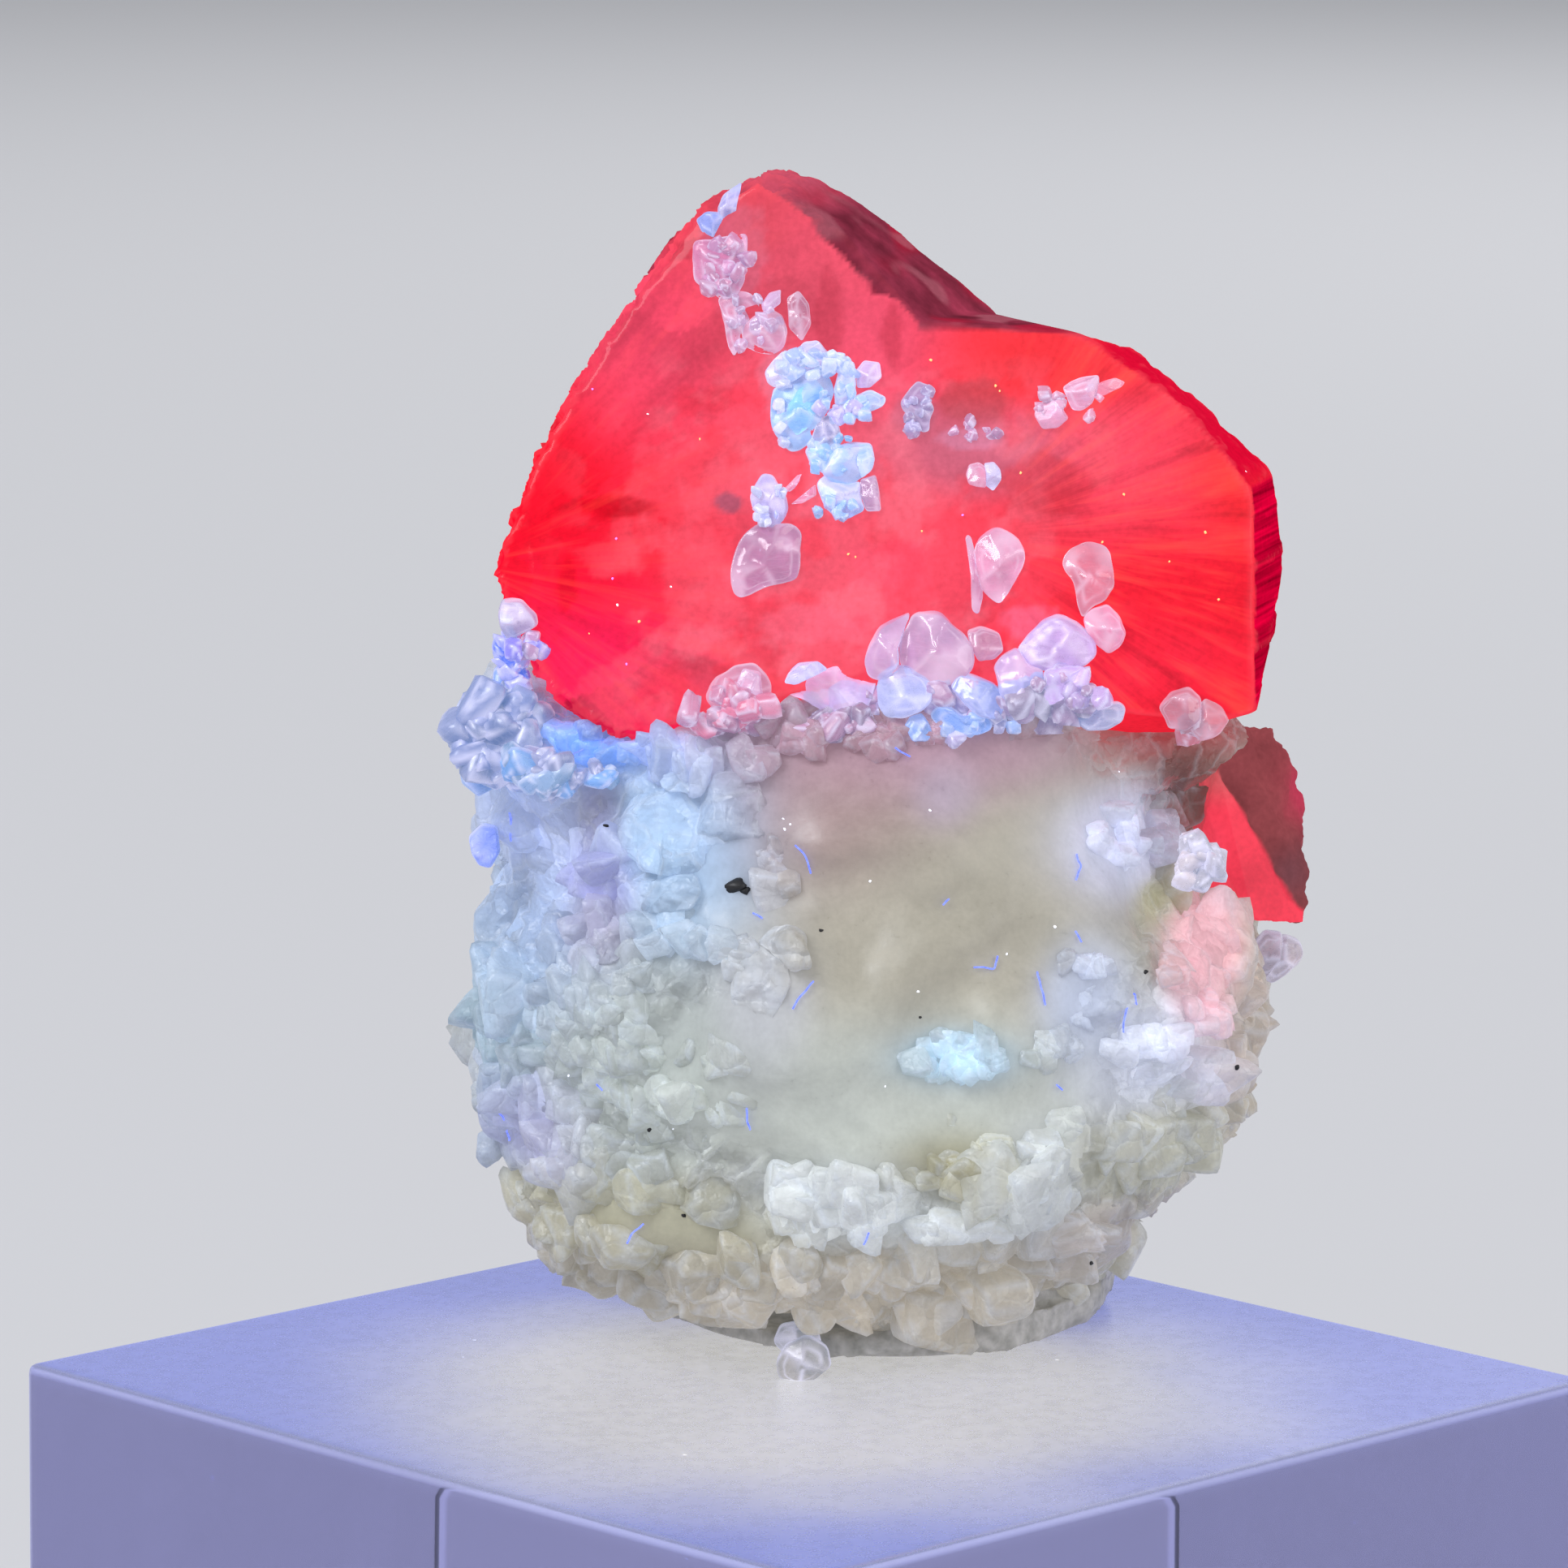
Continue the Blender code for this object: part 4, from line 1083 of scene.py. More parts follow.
# %% Stones on the crystal's face
FACE_LEAN, FACE_FOOT = 0.31, 19.0
RIM_LIFT = 0.12
CLEAR, MILKY = "clear", "milky"
FACE_STONES = [
    ("clear_rhomb", CLEAR, 1.2, 0.45, (0.72, 0.48, 0.64),
     [906, 671, 915, 662, 936, 648, 957, 646, 976, 648, 988, 657, 989, 679, 986, 707, 979, 716, 949, 721,
      928, 730, 908, 737, 902, 726, 902, 700]),
    ("bead", MILKY, 1.0, 0.55, (0.76, 0.72, 0.94),
     [924, 612, 931, 597, 939, 585, 952, 587, 960, 600, 968, 612, 971, 628, 966, 641, 952, 652, 944, 648,
      935, 638, 926, 625]),
    ("bead", CLEAR, 0.5, 0.15, (0.98, 0.62, 0.76), [966, 603, 982, 587, 988, 585, 978, 600, 969, 607]),
    ("bead", CLEAR, 0.5, 0.10, (0.98, 0.60, 0.74), [974, 621, 990, 609, 1005, 598, 1006, 611, 988, 620]),
    ("drop", CLEAR, 1.2, 0.55, (0.92, 0.66, 0.80),
     [1200, 677, 1206, 662, 1228, 652, 1251, 663, 1263, 677, 1263, 693, 1255, 709, 1242, 728, 1232, 744,
      1221, 739, 1209, 725, 1203, 702]),
    ("drop", CLEAR, 0.8, 0.30, (0.84, 0.56, 0.72),
     [1189, 663, 1196, 661, 1201, 680, 1204, 705, 1212, 732, 1206, 757, 1197, 752, 1197, 714, 1192, 682]),
    ("drop_right", CLEAR, 0.9, 0.25, (0.84, 0.46, 0.52),
     [1310, 691, 1320, 675, 1338, 670, 1361, 673, 1369, 684, 1374, 721, 1361, 741, 1347, 748, 1333, 762,
      1327, 737, 1320, 716, 1311, 704]),
    ("drop_right", CLEAR, 1.2, 0.75, (0.96, 0.62, 0.76),
     [1335, 764, 1347, 752, 1366, 746, 1381, 761, 1388, 780, 1381, 798, 1366, 806, 1350, 795, 1337, 778]),
    ("spot_left", MILKY, 0.8, 0.22, (0.66, 0.50, 0.66),
     [1108, 496, 1120, 482, 1131, 471, 1147, 477, 1145, 491, 1152, 505, 1146, 516, 1145, 532, 1134, 533,
      1127, 515, 1113, 507]),
    ("spot_right", CLEAR, 0.7, 0.25, (0.96, 0.62, 0.74),
     [1190, 585, 1194, 574, 1206, 571, 1214, 576, 1216, 590, 1214, 601, 1203, 600, 1193, 597]),
    ("spot_right", MILKY, 0.8, 0.40, (0.88, 0.84, 1.00),
     [1212, 572, 1224, 570, 1233, 580, 1234, 592, 1224, 605, 1214, 598, 1215, 585]),
    ("top_patch", MILKY, 0.8, 0.20, (0.62, 0.60, 0.86),
     [884, 258, 890, 242, 903, 232, 914, 225, 909, 249, 904, 280, 896, 290, 887, 275]),
    ("top_patch", MILKY, 0.7, 0.28, (0.56, 0.62, 0.92),
     [858, 272, 870, 262, 885, 262, 900, 273, 900, 287, 883, 294, 864, 286]),
    ("top_patch", MILKY, 0.8, 0.24, (0.84, 0.41, 0.58),
     [854, 300, 883, 294, 921, 290, 922, 318, 917, 352, 905, 366, 886, 366, 872, 357, 855, 349,
      852, 330]),
    ("top_patch", MILKY, 0.8, 0.34, (0.90, 0.50, 0.62),
     [884, 368, 905, 360, 924, 362, 936, 378, 917, 400, 913, 425, 906, 440, 897, 424, 891, 396]),
    ("top_patch", CLEAR, 0.9, 0.40, (0.90, 0.64, 0.76),
     [914, 404, 931, 390, 952, 383, 965, 390, 972, 407, 965, 428, 952, 438, 935, 435, 917, 428]),
    ("top_patch", MILKY, 0.7, 0.45, (0.90, 0.70, 0.86),
     [938, 375, 948, 361, 962, 358, 962, 374, 949, 384, 940, 383]),
    ("top_patch", CLEAR, 0.7, 0.10, (0.80, 0.42, 0.50),
     [969, 368, 984, 359, 996, 374, 1000, 400, 988, 420, 972, 404]),
    ("seam", MILKY, 0.8, 0.20, (0.90, 0.56, 0.68),
     [1274, 512, 1278, 498, 1297, 491, 1308, 496, 1311, 507, 1317, 516, 1304, 526, 1285, 528]),
    ("seam", MILKY, 0.8, 0.26, (0.92, 0.60, 0.72),
     [1309, 478, 1320, 471, 1333, 466, 1354, 464, 1354, 480, 1345, 497, 1333, 506, 1320, 505]),
    ("seam", CLEAR, 0.6, 0.14, (0.98, 0.58, 0.68),
     [1350, 474, 1362, 470, 1375, 466, 1387, 471, 1382, 477, 1361, 487, 1348, 489]),
    ("blue_cluster", MILKY, 1.2, 0.40, (0.58, 0.75, 0.98),
     [946, 500, 952, 480, 972, 466, 993, 456, 1020, 462, 1027, 480, 1020, 507, 1007, 524, 1000, 542,
      979, 555, 965, 548, 951, 530]),
    ("blue_cluster", MILKY, 1.0, 0.66, (0.60, 0.86, 1.00),
     [971, 500, 984, 480, 1004, 470, 1016, 482, 1008, 505, 996, 527, 981, 538, 970, 524]),
    ("blue_cluster", MILKY, 0.9, 0.55, (0.86, 0.84, 1.00),
     [943, 459, 952, 445, 965, 433, 973, 445, 993, 452, 969, 466, 955, 478, 946, 473]),
    ("blue_cluster", MILKY, 0.8, 0.45, (0.84, 0.82, 1.00),
     [976, 442, 989, 421, 1007, 421, 1022, 436, 1038, 444, 1026, 459, 1007, 452, 992, 455]),
    ("blue_cluster", MILKY, 0.9, 0.50, (0.72, 0.80, 1.00),
     [1027, 478, 1036, 450, 1053, 452, 1055, 476, 1043, 497, 1029, 500]),
    ("blue_cluster", MILKY, 0.9, 0.42, (0.70, 0.80, 1.00),
     [1020, 507, 1036, 495, 1053, 488, 1072, 480, 1093, 490, 1089, 500, 1062, 511, 1041, 521, 1024, 524]),
    ("blue_cluster", MILKY, 0.8, 0.36, (0.86, 0.72, 0.92),
     [1055, 458, 1065, 446, 1084, 448, 1086, 466, 1072, 478, 1056, 478]),
    ("blue_cluster", MILKY, 0.8, 0.30, (0.58, 0.58, 0.76),
     [998, 545, 1008, 520, 1022, 511, 1034, 522, 1038, 545, 1028, 552, 1010, 550]),
    ("blue_cluster", MILKY, 0.9, 0.44, (0.66, 0.80, 1.00),
     [992, 557, 1001, 542, 1017, 541, 1027, 550, 1025, 568, 1014, 583, 998, 571]),
    ("blue_cluster", MILKY, 1.1, 0.40, (0.68, 0.78, 1.00),
     [1022, 556, 1034, 550, 1049, 546, 1074, 547, 1079, 568, 1076, 581, 1060, 592, 1046, 600, 1026, 594,
      1013, 582]),
    ("blue_cluster", MILKY, 1.0, 0.52, (0.80, 0.86, 1.00),
     [1058, 552, 1072, 549, 1078, 566, 1074, 580, 1061, 589, 1056, 572]),
    ("blue_cluster", MILKY, 1.1, 0.42, (0.70, 0.76, 1.00),
     [1006, 595, 1018, 586, 1032, 592, 1050, 598, 1061, 594, 1062, 611, 1067, 628, 1047, 638, 1028, 636,
      1015, 624]),
    ("blue_cluster", MILKY, 0.9, 0.55, (0.56, 0.80, 1.00),
     [1012, 603, 1022, 602, 1030, 614, 1024, 630, 1016, 624]),
    ("blue_cluster", CLEAR, 0.8, 0.22, (0.74, 0.62, 0.78),
     [1060, 592, 1079, 587, 1084, 608, 1086, 630, 1068, 630, 1060, 610]),
    ("rim_row", CLEAR, 1.7, 1.30, (1.00, 0.80, 1.00),
     [963, 847, 969, 832, 986, 818, 1007, 815, 1032, 821, 1056, 813, 1075, 822, 1078, 844, 1072, 868,
      1053, 885, 1041, 887, 1020, 878, 992, 865, 972, 858]),
    ("rim_row", MILKY, 1.0, 1.42, (0.86, 0.76, 0.96),
     [966, 842, 971, 830, 986, 819, 1008, 817, 1020, 826, 1000, 836, 980, 844]),
    ("rim_row", CLEAR, 1.9, 1.30, (0.80, 0.70, 0.88),
     [1066, 816, 1072, 792, 1084, 775, 1102, 766, 1123, 758, 1112, 782, 1106, 800, 1108, 826, 1088, 840,
      1070, 836]),
    ("rim_row", CLEAR, 2.0, 1.40, (0.78, 0.66, 0.82),
     [1126, 758, 1157, 757, 1173, 772, 1194, 786, 1203, 804, 1200, 822, 1185, 838, 1151, 853, 1118, 846,
      1109, 824, 1108, 800, 1114, 782]),
    ("rim_row", MILKY, 1.5, 1.95, (0.76, 0.74, 0.94),
     [1079, 844, 1087, 832, 1105, 824, 1127, 827, 1142, 836, 1151, 850, 1147, 865, 1133, 878, 1111, 886,
      1093, 884, 1082, 871]),
    ("rim_row", CLEAR, 1.5, 1.70, (0.70, 0.71, 0.96),
     [1171, 846, 1182, 833, 1203, 835, 1225, 844, 1238, 862, 1234, 881, 1225, 887, 1209, 884, 1187, 868]),
    ("rim_row", MILKY, 1.2, 1.95, (0.56, 0.66, 0.94),
     [1145, 883, 1154, 872, 1170, 871, 1186, 884, 1206, 875, 1222, 889, 1223, 899, 1209, 905, 1179, 908,
      1160, 899]),
    ("rim_row", MILKY, 1.2, 1.80, (0.56, 0.66, 0.94),
     [1113, 896, 1121, 884, 1136, 881, 1146, 890, 1151, 905, 1142, 913, 1124, 913]),
    ("rim_row", CLEAR, 1.7, 1.40, (0.82, 0.76, 0.98),
     [1225, 824, 1234, 813, 1255, 801, 1266, 820, 1286, 826, 1289, 847, 1280, 868, 1261, 873, 1243, 874,
      1232, 858]),
    ("rim_row", MILKY, 1.8, 1.20, (0.80, 0.66, 0.90),
     [1255, 801, 1271, 780, 1286, 766, 1307, 761, 1332, 770, 1350, 792, 1352, 810, 1338, 822, 1307, 824,
      1289, 828, 1266, 822]),
    ("rim_row", CLEAR, 1.2, 1.50, (0.92, 0.72, 0.96),
     [1287, 828, 1307, 822, 1338, 824, 1335, 838, 1317, 853, 1298, 868, 1284, 866]),
    ("rim_row", CLEAR, 1.1, 0.75, (0.80, 0.58, 0.70),
     [1192, 779, 1209, 774, 1234, 783, 1237, 801, 1225, 812, 1206, 815, 1197, 800]),
    ("rim_left", CLEAR, 1.4, 0.70, (0.86, 0.56, 0.66),
     [868, 862, 880, 838, 905, 822, 930, 820, 948, 838, 950, 862, 925, 886, 890, 888]),
    ("rim_left", CLEAR, 1.0, 0.95, (0.92, 0.66, 0.76), [905, 850, 916, 826, 938, 830, 940, 858, 920, 872]),
    ("rim_oval", MILKY, 1.3, 1.75, (0.70, 0.67, 0.81),
     [1323, 890, 1335, 878, 1356, 868, 1381, 867, 1388, 874, 1384, 890, 1366, 899, 1338, 900]),
    ("rim_right", CLEAR, 1.5, 0.55, (0.80, 0.46, 0.48),
     [1428, 872, 1444, 854, 1466, 848, 1482, 862, 1482, 886, 1462, 902, 1440, 898]),
    ("rim_right", CLEAR, 1.5, 0.30, (0.86, 0.50, 0.50),
     [1470, 872, 1488, 858, 1508, 872, 1516, 888, 1500, 905, 1480, 914, 1464, 900]),
    ("edge_knob", MILKY, 1.6, 0.55, (0.72, 0.66, 0.82),
     [612, 756, 618, 741, 643, 741, 661, 758, 664, 770, 646, 780, 627, 788, 617, 775]),
]
# Stones beside the face: their fronts are measured along y instead.
SIDE_STONES = [
    ("shoulder", MILKY, 1.8, 0.9, (0.62, 0.68, 0.88),
     [551, 900, 566, 866, 592, 842, 612, 860, 618, 892, 600, 930, 572, 940, 553, 918]),
    ("shoulder", MILKY, 1.8, 0.6, (0.64, 0.69, 0.86),
     [606, 868, 634, 856, 660, 880, 664, 908, 640, 930, 612, 918, 604, 892]),
    ("shoulder", MILKY, 1.6, 0.8, (0.60, 0.68, 0.90),
     [564, 940, 590, 926, 612, 936, 612, 968, 590, 982, 568, 966]),
    ("shoulder", MILKY, 2.2, 1.3, (0.52, 0.62, 0.98),
     [606, 846, 608, 826, 630, 815, 648, 822, 652, 846, 640, 864, 618, 858]),
    ("shoulder", MILKY, 1.6, 0.5, (0.56, 0.60, 0.98),
     [580, 1052, 576, 1034, 592, 1018, 612, 1022, 616, 1050, 604, 1070, 590, 1066]),
    ("chip_right", MILKY, 1.3, 8.6, (0.62, 0.70, 0.90),
     [1586, 1054, 1598, 1051, 1610, 1069, 1607, 1104, 1595, 1110, 1584, 1090]),
    ("knob_right", MILKY, 1.8, 6.9, (0.78, 0.66, 0.62),
     [1554, 1169, 1586, 1157, 1604, 1163, 1608, 1175, 1598, 1189, 1566, 1212, 1548, 1200]),
    ("knob_right", MILKY, 1.8, 6.6, (0.76, 0.62, 0.58),
     [1536, 1176, 1560, 1150, 1582, 1152, 1580, 1180, 1560, 1204, 1538, 1204]),
    ("foot_grain", MILKY, 1.5, -1.5, (0.64, 0.57, 0.48),
     [957, 1676, 968, 1657, 995, 1650, 1020, 1665, 1025, 1684, 1006, 1699, 976, 1704, 959, 1697]),
    ("foot_grain", MILKY, 1.3, -0.9, (0.68, 0.60, 0.50),
     [952, 1655, 962, 1636, 990, 1632, 1008, 1642, 1012, 1658, 990, 1668, 965, 1668]),
]


print(len(FACE_STONES), "stones on the face and", len(SIDE_STONES), "beside it")

# %% [markdown]
# ## Making the clear stones
#
# Each stone is a pebble with facets cut by random planes, set as deep as the crystal's
# face lies behind it. Stones of one CAD node and one finish share a mesh.

# %% Make the clear stones
def face_depth(place):
    """How deep the crystal's face lies straight behind a place, or the face's plane beside it."""
    hit = first_hit(crystal_tree, place[0], place[2])[0]
    plane = FACE_LEAN * (place[2] - FACE_FOOT)
    return plane if hit is None else min(hit.y, plane + 1.0)


def clear_stones(face_rows, side_rows):
    """One mesh for each CAD node and finish, from its traced and faceted stones."""
    groups = {}
    for seed, (node, finish, thick, place, tone, outline) in enumerate([*face_rows, *side_rows]):
        face = face_depth(seen_at(outline, 1.0).mean(0))
        front = min(face - place, face - RIM_LIFT - thick / 2) if seed < len(face_rows) else place
        corners = seen_at(outline, front + 0.4 * thick)[:, [0, 2]]
        small = np.ptp(corners, axis=0).min()
        points, faces, rim = pebble(corners, thick, front + thick / 2, 80 + 3 * seed,
                                    uneven=0.04 * min(small, 2), facets=9)
        shade = linear(tone) * (1 + 0.22 * rough(points, 0.8, 2, 90 + seed))[:, None]
        groups.setdefault((node, finish), []).append((points, faces, shade, rim))
    pieces = {CLEAR: [], MILKY: []}
    for (node, finish), stones in groups.items():
        points, faces = join([stone[:2] for stone in stones])
        piece = make_piece(f"{finish}_{node}", points, faces,
                           tint=np.concatenate([stone[2] for stone in stones]),
                           edge=np.concatenate([stone[3] for stone in stones]))
        add_vectors(piece.data, "own", points[:, [0, 2, 1]] * 1.6)
        pieces[finish].append(settle(piece, f"calcite_{node}", slot="clear_calcite"))
    return pieces


clear_pieces = clear_stones(FACE_STONES, SIDE_STONES)
print({finish: len(pieces) for finish, pieces in clear_pieces.items()}, "meshes of stones")

# %% [markdown]
# ## Crumbs between the stones
#
# Small crisp grains fill the gaps round the traced stones: blue and white in the cluster
# on the face, rosy along the rim and bright blue at the left shoulder, where the lamp
# strikes. Every crumb has a tone picked at random from its group's few.

# %% Crumbs of calcite
CRUMBS = [
    ("blue_cluster", (1000, 450), (46, 18), (0.22, 0.45), 26, 0.42, [(0.86, 0.88, 1.0), (0.76, 0.80, 1.0)]),
    ("blue_cluster", (1040, 500), (34, 22), (0.22, 0.42), 16, 0.36, [(0.74, 0.82, 1.0), (0.86, 0.76, 0.96)]),
    ("blue_cluster", (1030, 560), (34, 24), (0.22, 0.42), 16, 0.32, [(0.66, 0.80, 1.0), (0.80, 0.84, 1.0)]),
    ("blue_cluster", (1032, 628), (26, 12), (0.20, 0.36), 8, 0.36, [(0.70, 0.80, 1.0)]),
    ("blue_cluster", (966, 500), (14, 50), (0.20, 0.36), 10, 0.30, [(0.88, 0.86, 1.0)]),
    ("bead", (948, 620), (20, 28), (0.20, 0.36), 12, 0.50, [(0.92, 0.88, 1.0), (0.76, 0.72, 0.98)]),
    ("spot_left", (1132, 505), (20, 28), (0.20, 0.36), 10, 0.22, [(0.70, 0.56, 0.72), (0.80, 0.70, 0.86)]),
    ("spot_left", (1205, 530), (34, 12), (0.18, 0.32), 10, 0.10, [(0.84, 0.54, 0.68)]),
    ("seam", (1320, 498), (44, 22), (0.20, 0.40), 14, 0.16, [(0.92, 0.62, 0.72)]),
    ("top_patch", (890, 330), (34, 34), (0.25, 0.5), 16, 0.26, [(0.84, 0.52, 0.68), (0.82, 0.48, 0.60)]),
    ("top_patch", (925, 395), (36, 34), (0.22, 0.42), 16, 0.30, [(0.88, 0.66, 0.78)]),
    ("rim_row", (1040, 895), (60, 14), (0.35, 0.75), 22, 1.25, [(0.80, 0.52, 0.62), (0.70, 0.50, 0.58)]),
    ("rim_row", (1110, 868), (110, 16), (0.45, 0.90), 30, 0.60, [(0.80, 0.54, 0.66), (0.72, 0.56, 0.74)]),
    ("rim_row", (1270, 872), (80, 16), (0.45, 0.90), 24, 0.60, [(0.74, 0.56, 0.68), (0.66, 0.54, 0.62)]),
    ("rim_row", (1190, 895), (60, 16), (0.30, 0.60), 14, 1.35, [(0.70, 0.76, 0.96), (0.74, 0.66, 0.82)]),
    ("rim_row", (1320, 850), (46, 24), (0.30, 0.65), 16, 1.10, [(0.84, 0.66, 0.86), (0.80, 0.60, 0.72)]),
    ("rim_left", (905, 880), (60, 22), (0.35, 0.75), 22, 0.85, [(0.96, 0.44, 0.54), (0.84, 0.48, 0.58)]),
    ("rim_right", (1462, 894), (26, 8), (0.60, 1.00), 3, -0.10, [(0.96, 0.36, 0.32), (0.82, 0.38, 0.34)]),
    ("matrix", (1474, 1064), (24, 32), (0.4, 0.8), 22, 0.4, [(0.88, 0.80, 0.80), (0.80, 0.74, 0.76)]),
    ("edge_knob", (645, 795), (16, 18), (0.30, 0.60), 10, 0.10, [(0.60, 0.50, 0.95), (0.80, 0.56, 0.70)]),
    ("shoulder", (618, 905), (56, 50), (0.6, 1.3), 40, -1.3, [(0.52, 0.53, 0.72), (0.57, 0.57, 0.72)]),
    ("shoulder", (690, 948), (70, 20), (0.35, 0.8), 40, -0.5,
     [(0.50, 0.66, 0.90), (0.60, 0.68, 0.82), (0.62, 0.60, 0.74)]),
    ("shoulder", (634, 812), (18, 30), (0.3, 0.6), 16, -1.0, [(0.36, 0.42, 1.0), (0.74, 0.70, 1.0)]),
    ("edge_knob", (728, 488), (5, 5), (0.25, 0.40), 3, -0.30, [(0.72, 0.50, 1.0)]),
]


def crumbs(rows, seed):
    """Tiny stones scattered in ellipses of photo pixels on the leaning face; one mesh for each node."""
    chance = np.random.default_rng(seed)
    groups = {}
    for node, middle, spread, (least, most), count, proud, tones in rows:
        angle, radius = chance.uniform(0, 2 * math.pi, count), np.sqrt(chance.uniform(size=count))
        pixels = np.array(middle) + (radius * np.array([np.cos(angle), np.sin(angle)])).T * spread
        spots = seen_at(pixels, 0.0)
        depth = np.array([face_depth(spot) for spot in spots]) - proud * chance.uniform(0.7, 1.1, count)
        middles = np.concatenate([seen_at(pixels[k:k + 1], depth[k]) for k in range(count)])
        sizes = chance.uniform(least, most, (count, 1)) * chance.uniform(0.8, 1.4, (count, 3))
        tone = linear(np.array(tones)[chance.integers(0, len(tones), count)])
        tone *= chance.uniform(0.8, 1.15, (count, 1))
        groups.setdefault(node, []).append((middles, sizes, tone))
    for node, parts in groups.items():
        middles, sizes, tone = (np.concatenate(values) for values in zip(*parts))
        points, faces, edge, own = grains(middles, sizes, seed, crisp=11, count=5)
        shade = np.repeat(tone, len(points) // len(middles), axis=0)
        piece = make_piece(f"crumbs_{node}", points, faces, tint=shade, edge=edge)
        add_vectors(piece.data, "own", own)
        clear_pieces[MILKY].append(settle(piece, f"calcite_{node}", slot="clear_calcite"))


crumbs(CRUMBS, 61)
print(sum(row[4] for row in CRUMBS), "crumbs")

# %% [markdown]
# ## The putty
#
# A pad of grey mineral putty holds the stone. It was pressed by hand, so its rim is
# uneven and faintly dented. The CAD pad is welded to a flat egg that fills the gap under
# the stone, and noise on its upright sides makes the dents.

# %% Shape the putty
PUTTY_MIDDLE = 2.6
PUTTY_VOXEL = 0.16
PUTTY_EGG = ((PUTTY_MIDDLE, 7.6, 1.9), (13.4, 13.0, 3.4))

putty_points, putty_faces, _ = copy_of_node("mounting_putty")
putty = weld("putty_pad", [(putty_points, putty_faces), egg(*PUTTY_EGG)], PUTTY_VOXEL, smoothing=14)
points, normals = read_points(putty.data)
upright = 1 - ease(0.5, 0.9, np.abs(normals[:, 2]))
move = (0.42 * rough(points, 2.0, 3, 101) + 0.06 * wander(points, 0.5, 105)) * upright
points = points + normals * move[:, None]
points[:, 0] -= 0.09 * np.maximum(points[:, 0] - PUTTY_MIDDLE, 0)
points[:, 2] = np.maximum(points[:, 2], 0.03)
write_points(putty.data, points)
settle(putty, "mounting_putty", slot="putty")
print("putty points", len(points))

# %% [markdown]
# ## The clear cube
#
# The cube is cast acrylic. Its edges are eased a quarter of a millimetre, and that thin
# band catches the light. The surface is a ball of directions pushed out into the
# corners: a point is the nearest place in a smaller cube, plus the edge radius.

# %% Make the clear cube
CUBE_SIDE = 31.75
EDGE_RADIUS = 0.28
CUBE_TURN = math.radians(45)
CUBE_GRID = 30


def rounded_cube(side, radius, count):
    """Grid cube with round edges: clamp each point to the inner cube, then step out by the radius.

    It also gives 1 on the round edges and 0 on the flat sides.
    """
    line = np.linspace(-1, 1, count + 1)
    bend = np.sign(line) * (1 - (1 - np.abs(line)) ** 3)
    directions, quads = ball_grid(count)
    lattice = directions / np.abs(directions).max(1, keepdims=True)
    lattice = np.interp(np.arctan(lattice) / (math.pi / 4), line, bend) * side / 2
    inner = np.clip(lattice, radius - side / 2, side / 2 - radius)
    step = lattice - inner
    length = np.linalg.norm(step, axis=1, keepdims=True)
    outward = step / np.maximum(length, 1e-9)
    return inner + outward * radius, quads, ease(0.999, 0.9, np.abs(outward).max(1))


points, faces, bevel = rounded_cube(CUBE_SIDE, EDGE_RADIUS, CUBE_GRID)
turn = np.array([[math.cos(CUBE_TURN), -math.sin(CUBE_TURN), 0],
                 [math.sin(CUBE_TURN), math.cos(CUBE_TURN), 0], [0, 0, 1]])
points = points @ turn.T - [0, 0, CUBE_SIDE / 2]
# The hazy top is rougher, and it also carries the top's painted glow.
topness = ease(-0.35, -0.02, points[:, 2])
cube = make_piece("acrylic_cube", points, faces, haze=topness, bevel=bevel)
settle(cube, "display_block", slot="acrylic")
print("cube points", len(points))

# %% [markdown]
# ## Lint
#
# Fibres of household lint glow bright blue under ultraviolet light. A fibre is a thin
# tube: a ring of points carried along a smoothed path. Each path is given in
# millimetres on the front, and a ray finds how deep the marble lies there.

# %% Lint fibres
FIBRE_RADIUS = 0.025
FIBRE_SIDES = 6
FIBRE_STEPS = 14
FIBRES = [
    [(-9.5, 7.1), (-9.1, 7.35), (-8.9, 7.2), (-8.7, 6.5), (-8.7, 6.1)],
    [(-0.55, 15.6), (-0.25, 15.3), (-0.1, 14.8)],
    [(4.5, 12.28), (5.1, 12.22), (5.15, 12.55)],
    [(6.3, 12.1), (6.4, 11.6), (6.55, 11.2)],
    [(8.75, 10.3), (8.8, 10.9), (9.05, 11.4), (9.15, 11.1)],
    [(-0.6, 11.25), (-0.4, 11.55), (0.0, 12.0)],
    [(7.45, 15.15), (7.55, 14.8), (7.4, 14.5)],
    [(7.4, 13.15), (7.55, 12.85)],
    [(-1.85, 8.3), (-1.8, 7.9), (-1.75, 7.6)],
    [(-5.2, 4.1), (-5.0, 4.4), (-4.75, 4.6)],
    [(-6.1, 8.55), (-5.95, 8.35)],
    [(6.85, 8.9), (7.05, 8.75)],
    [(1.5, 4.5), (1.65, 4.85)],
    [(-1.7, 13.75), (-1.45, 13.6)],
    [(3.6, 14.0), (3.8, 14.15)],
    [(2.25, 18.25), (2.65, 18.0)],
    [(-7.0, 17.7), (-6.5, 18.0), (-6.0, 18.4)],
    [(-8.7, 15.8), (-8.65, 15.0)],
]
FIBRE_LIFT = 0.10
marble_trees = [BVHTree.FromPolygons(read_points(piece.data)[0].tolist(),
                                     [list(face.vertices) for face in piece.data.polygons])
                for piece in marble_pieces]


def touch_front(x, z, lift):
    """A place just in front of the finished marble's skin, or beside it where nothing lies behind."""
    hits = [first_hit(tree, x, z)[0] for tree in marble_trees]
    depths = [hit.y for hit in hits if hit is not None]
    if depths:
        return np.array([x, min(depths) - lift, z])
    nearest = marble_trees[0].find_nearest(Vector((x, 1, z)))[0]
    return np.array([x, nearest.y, z])


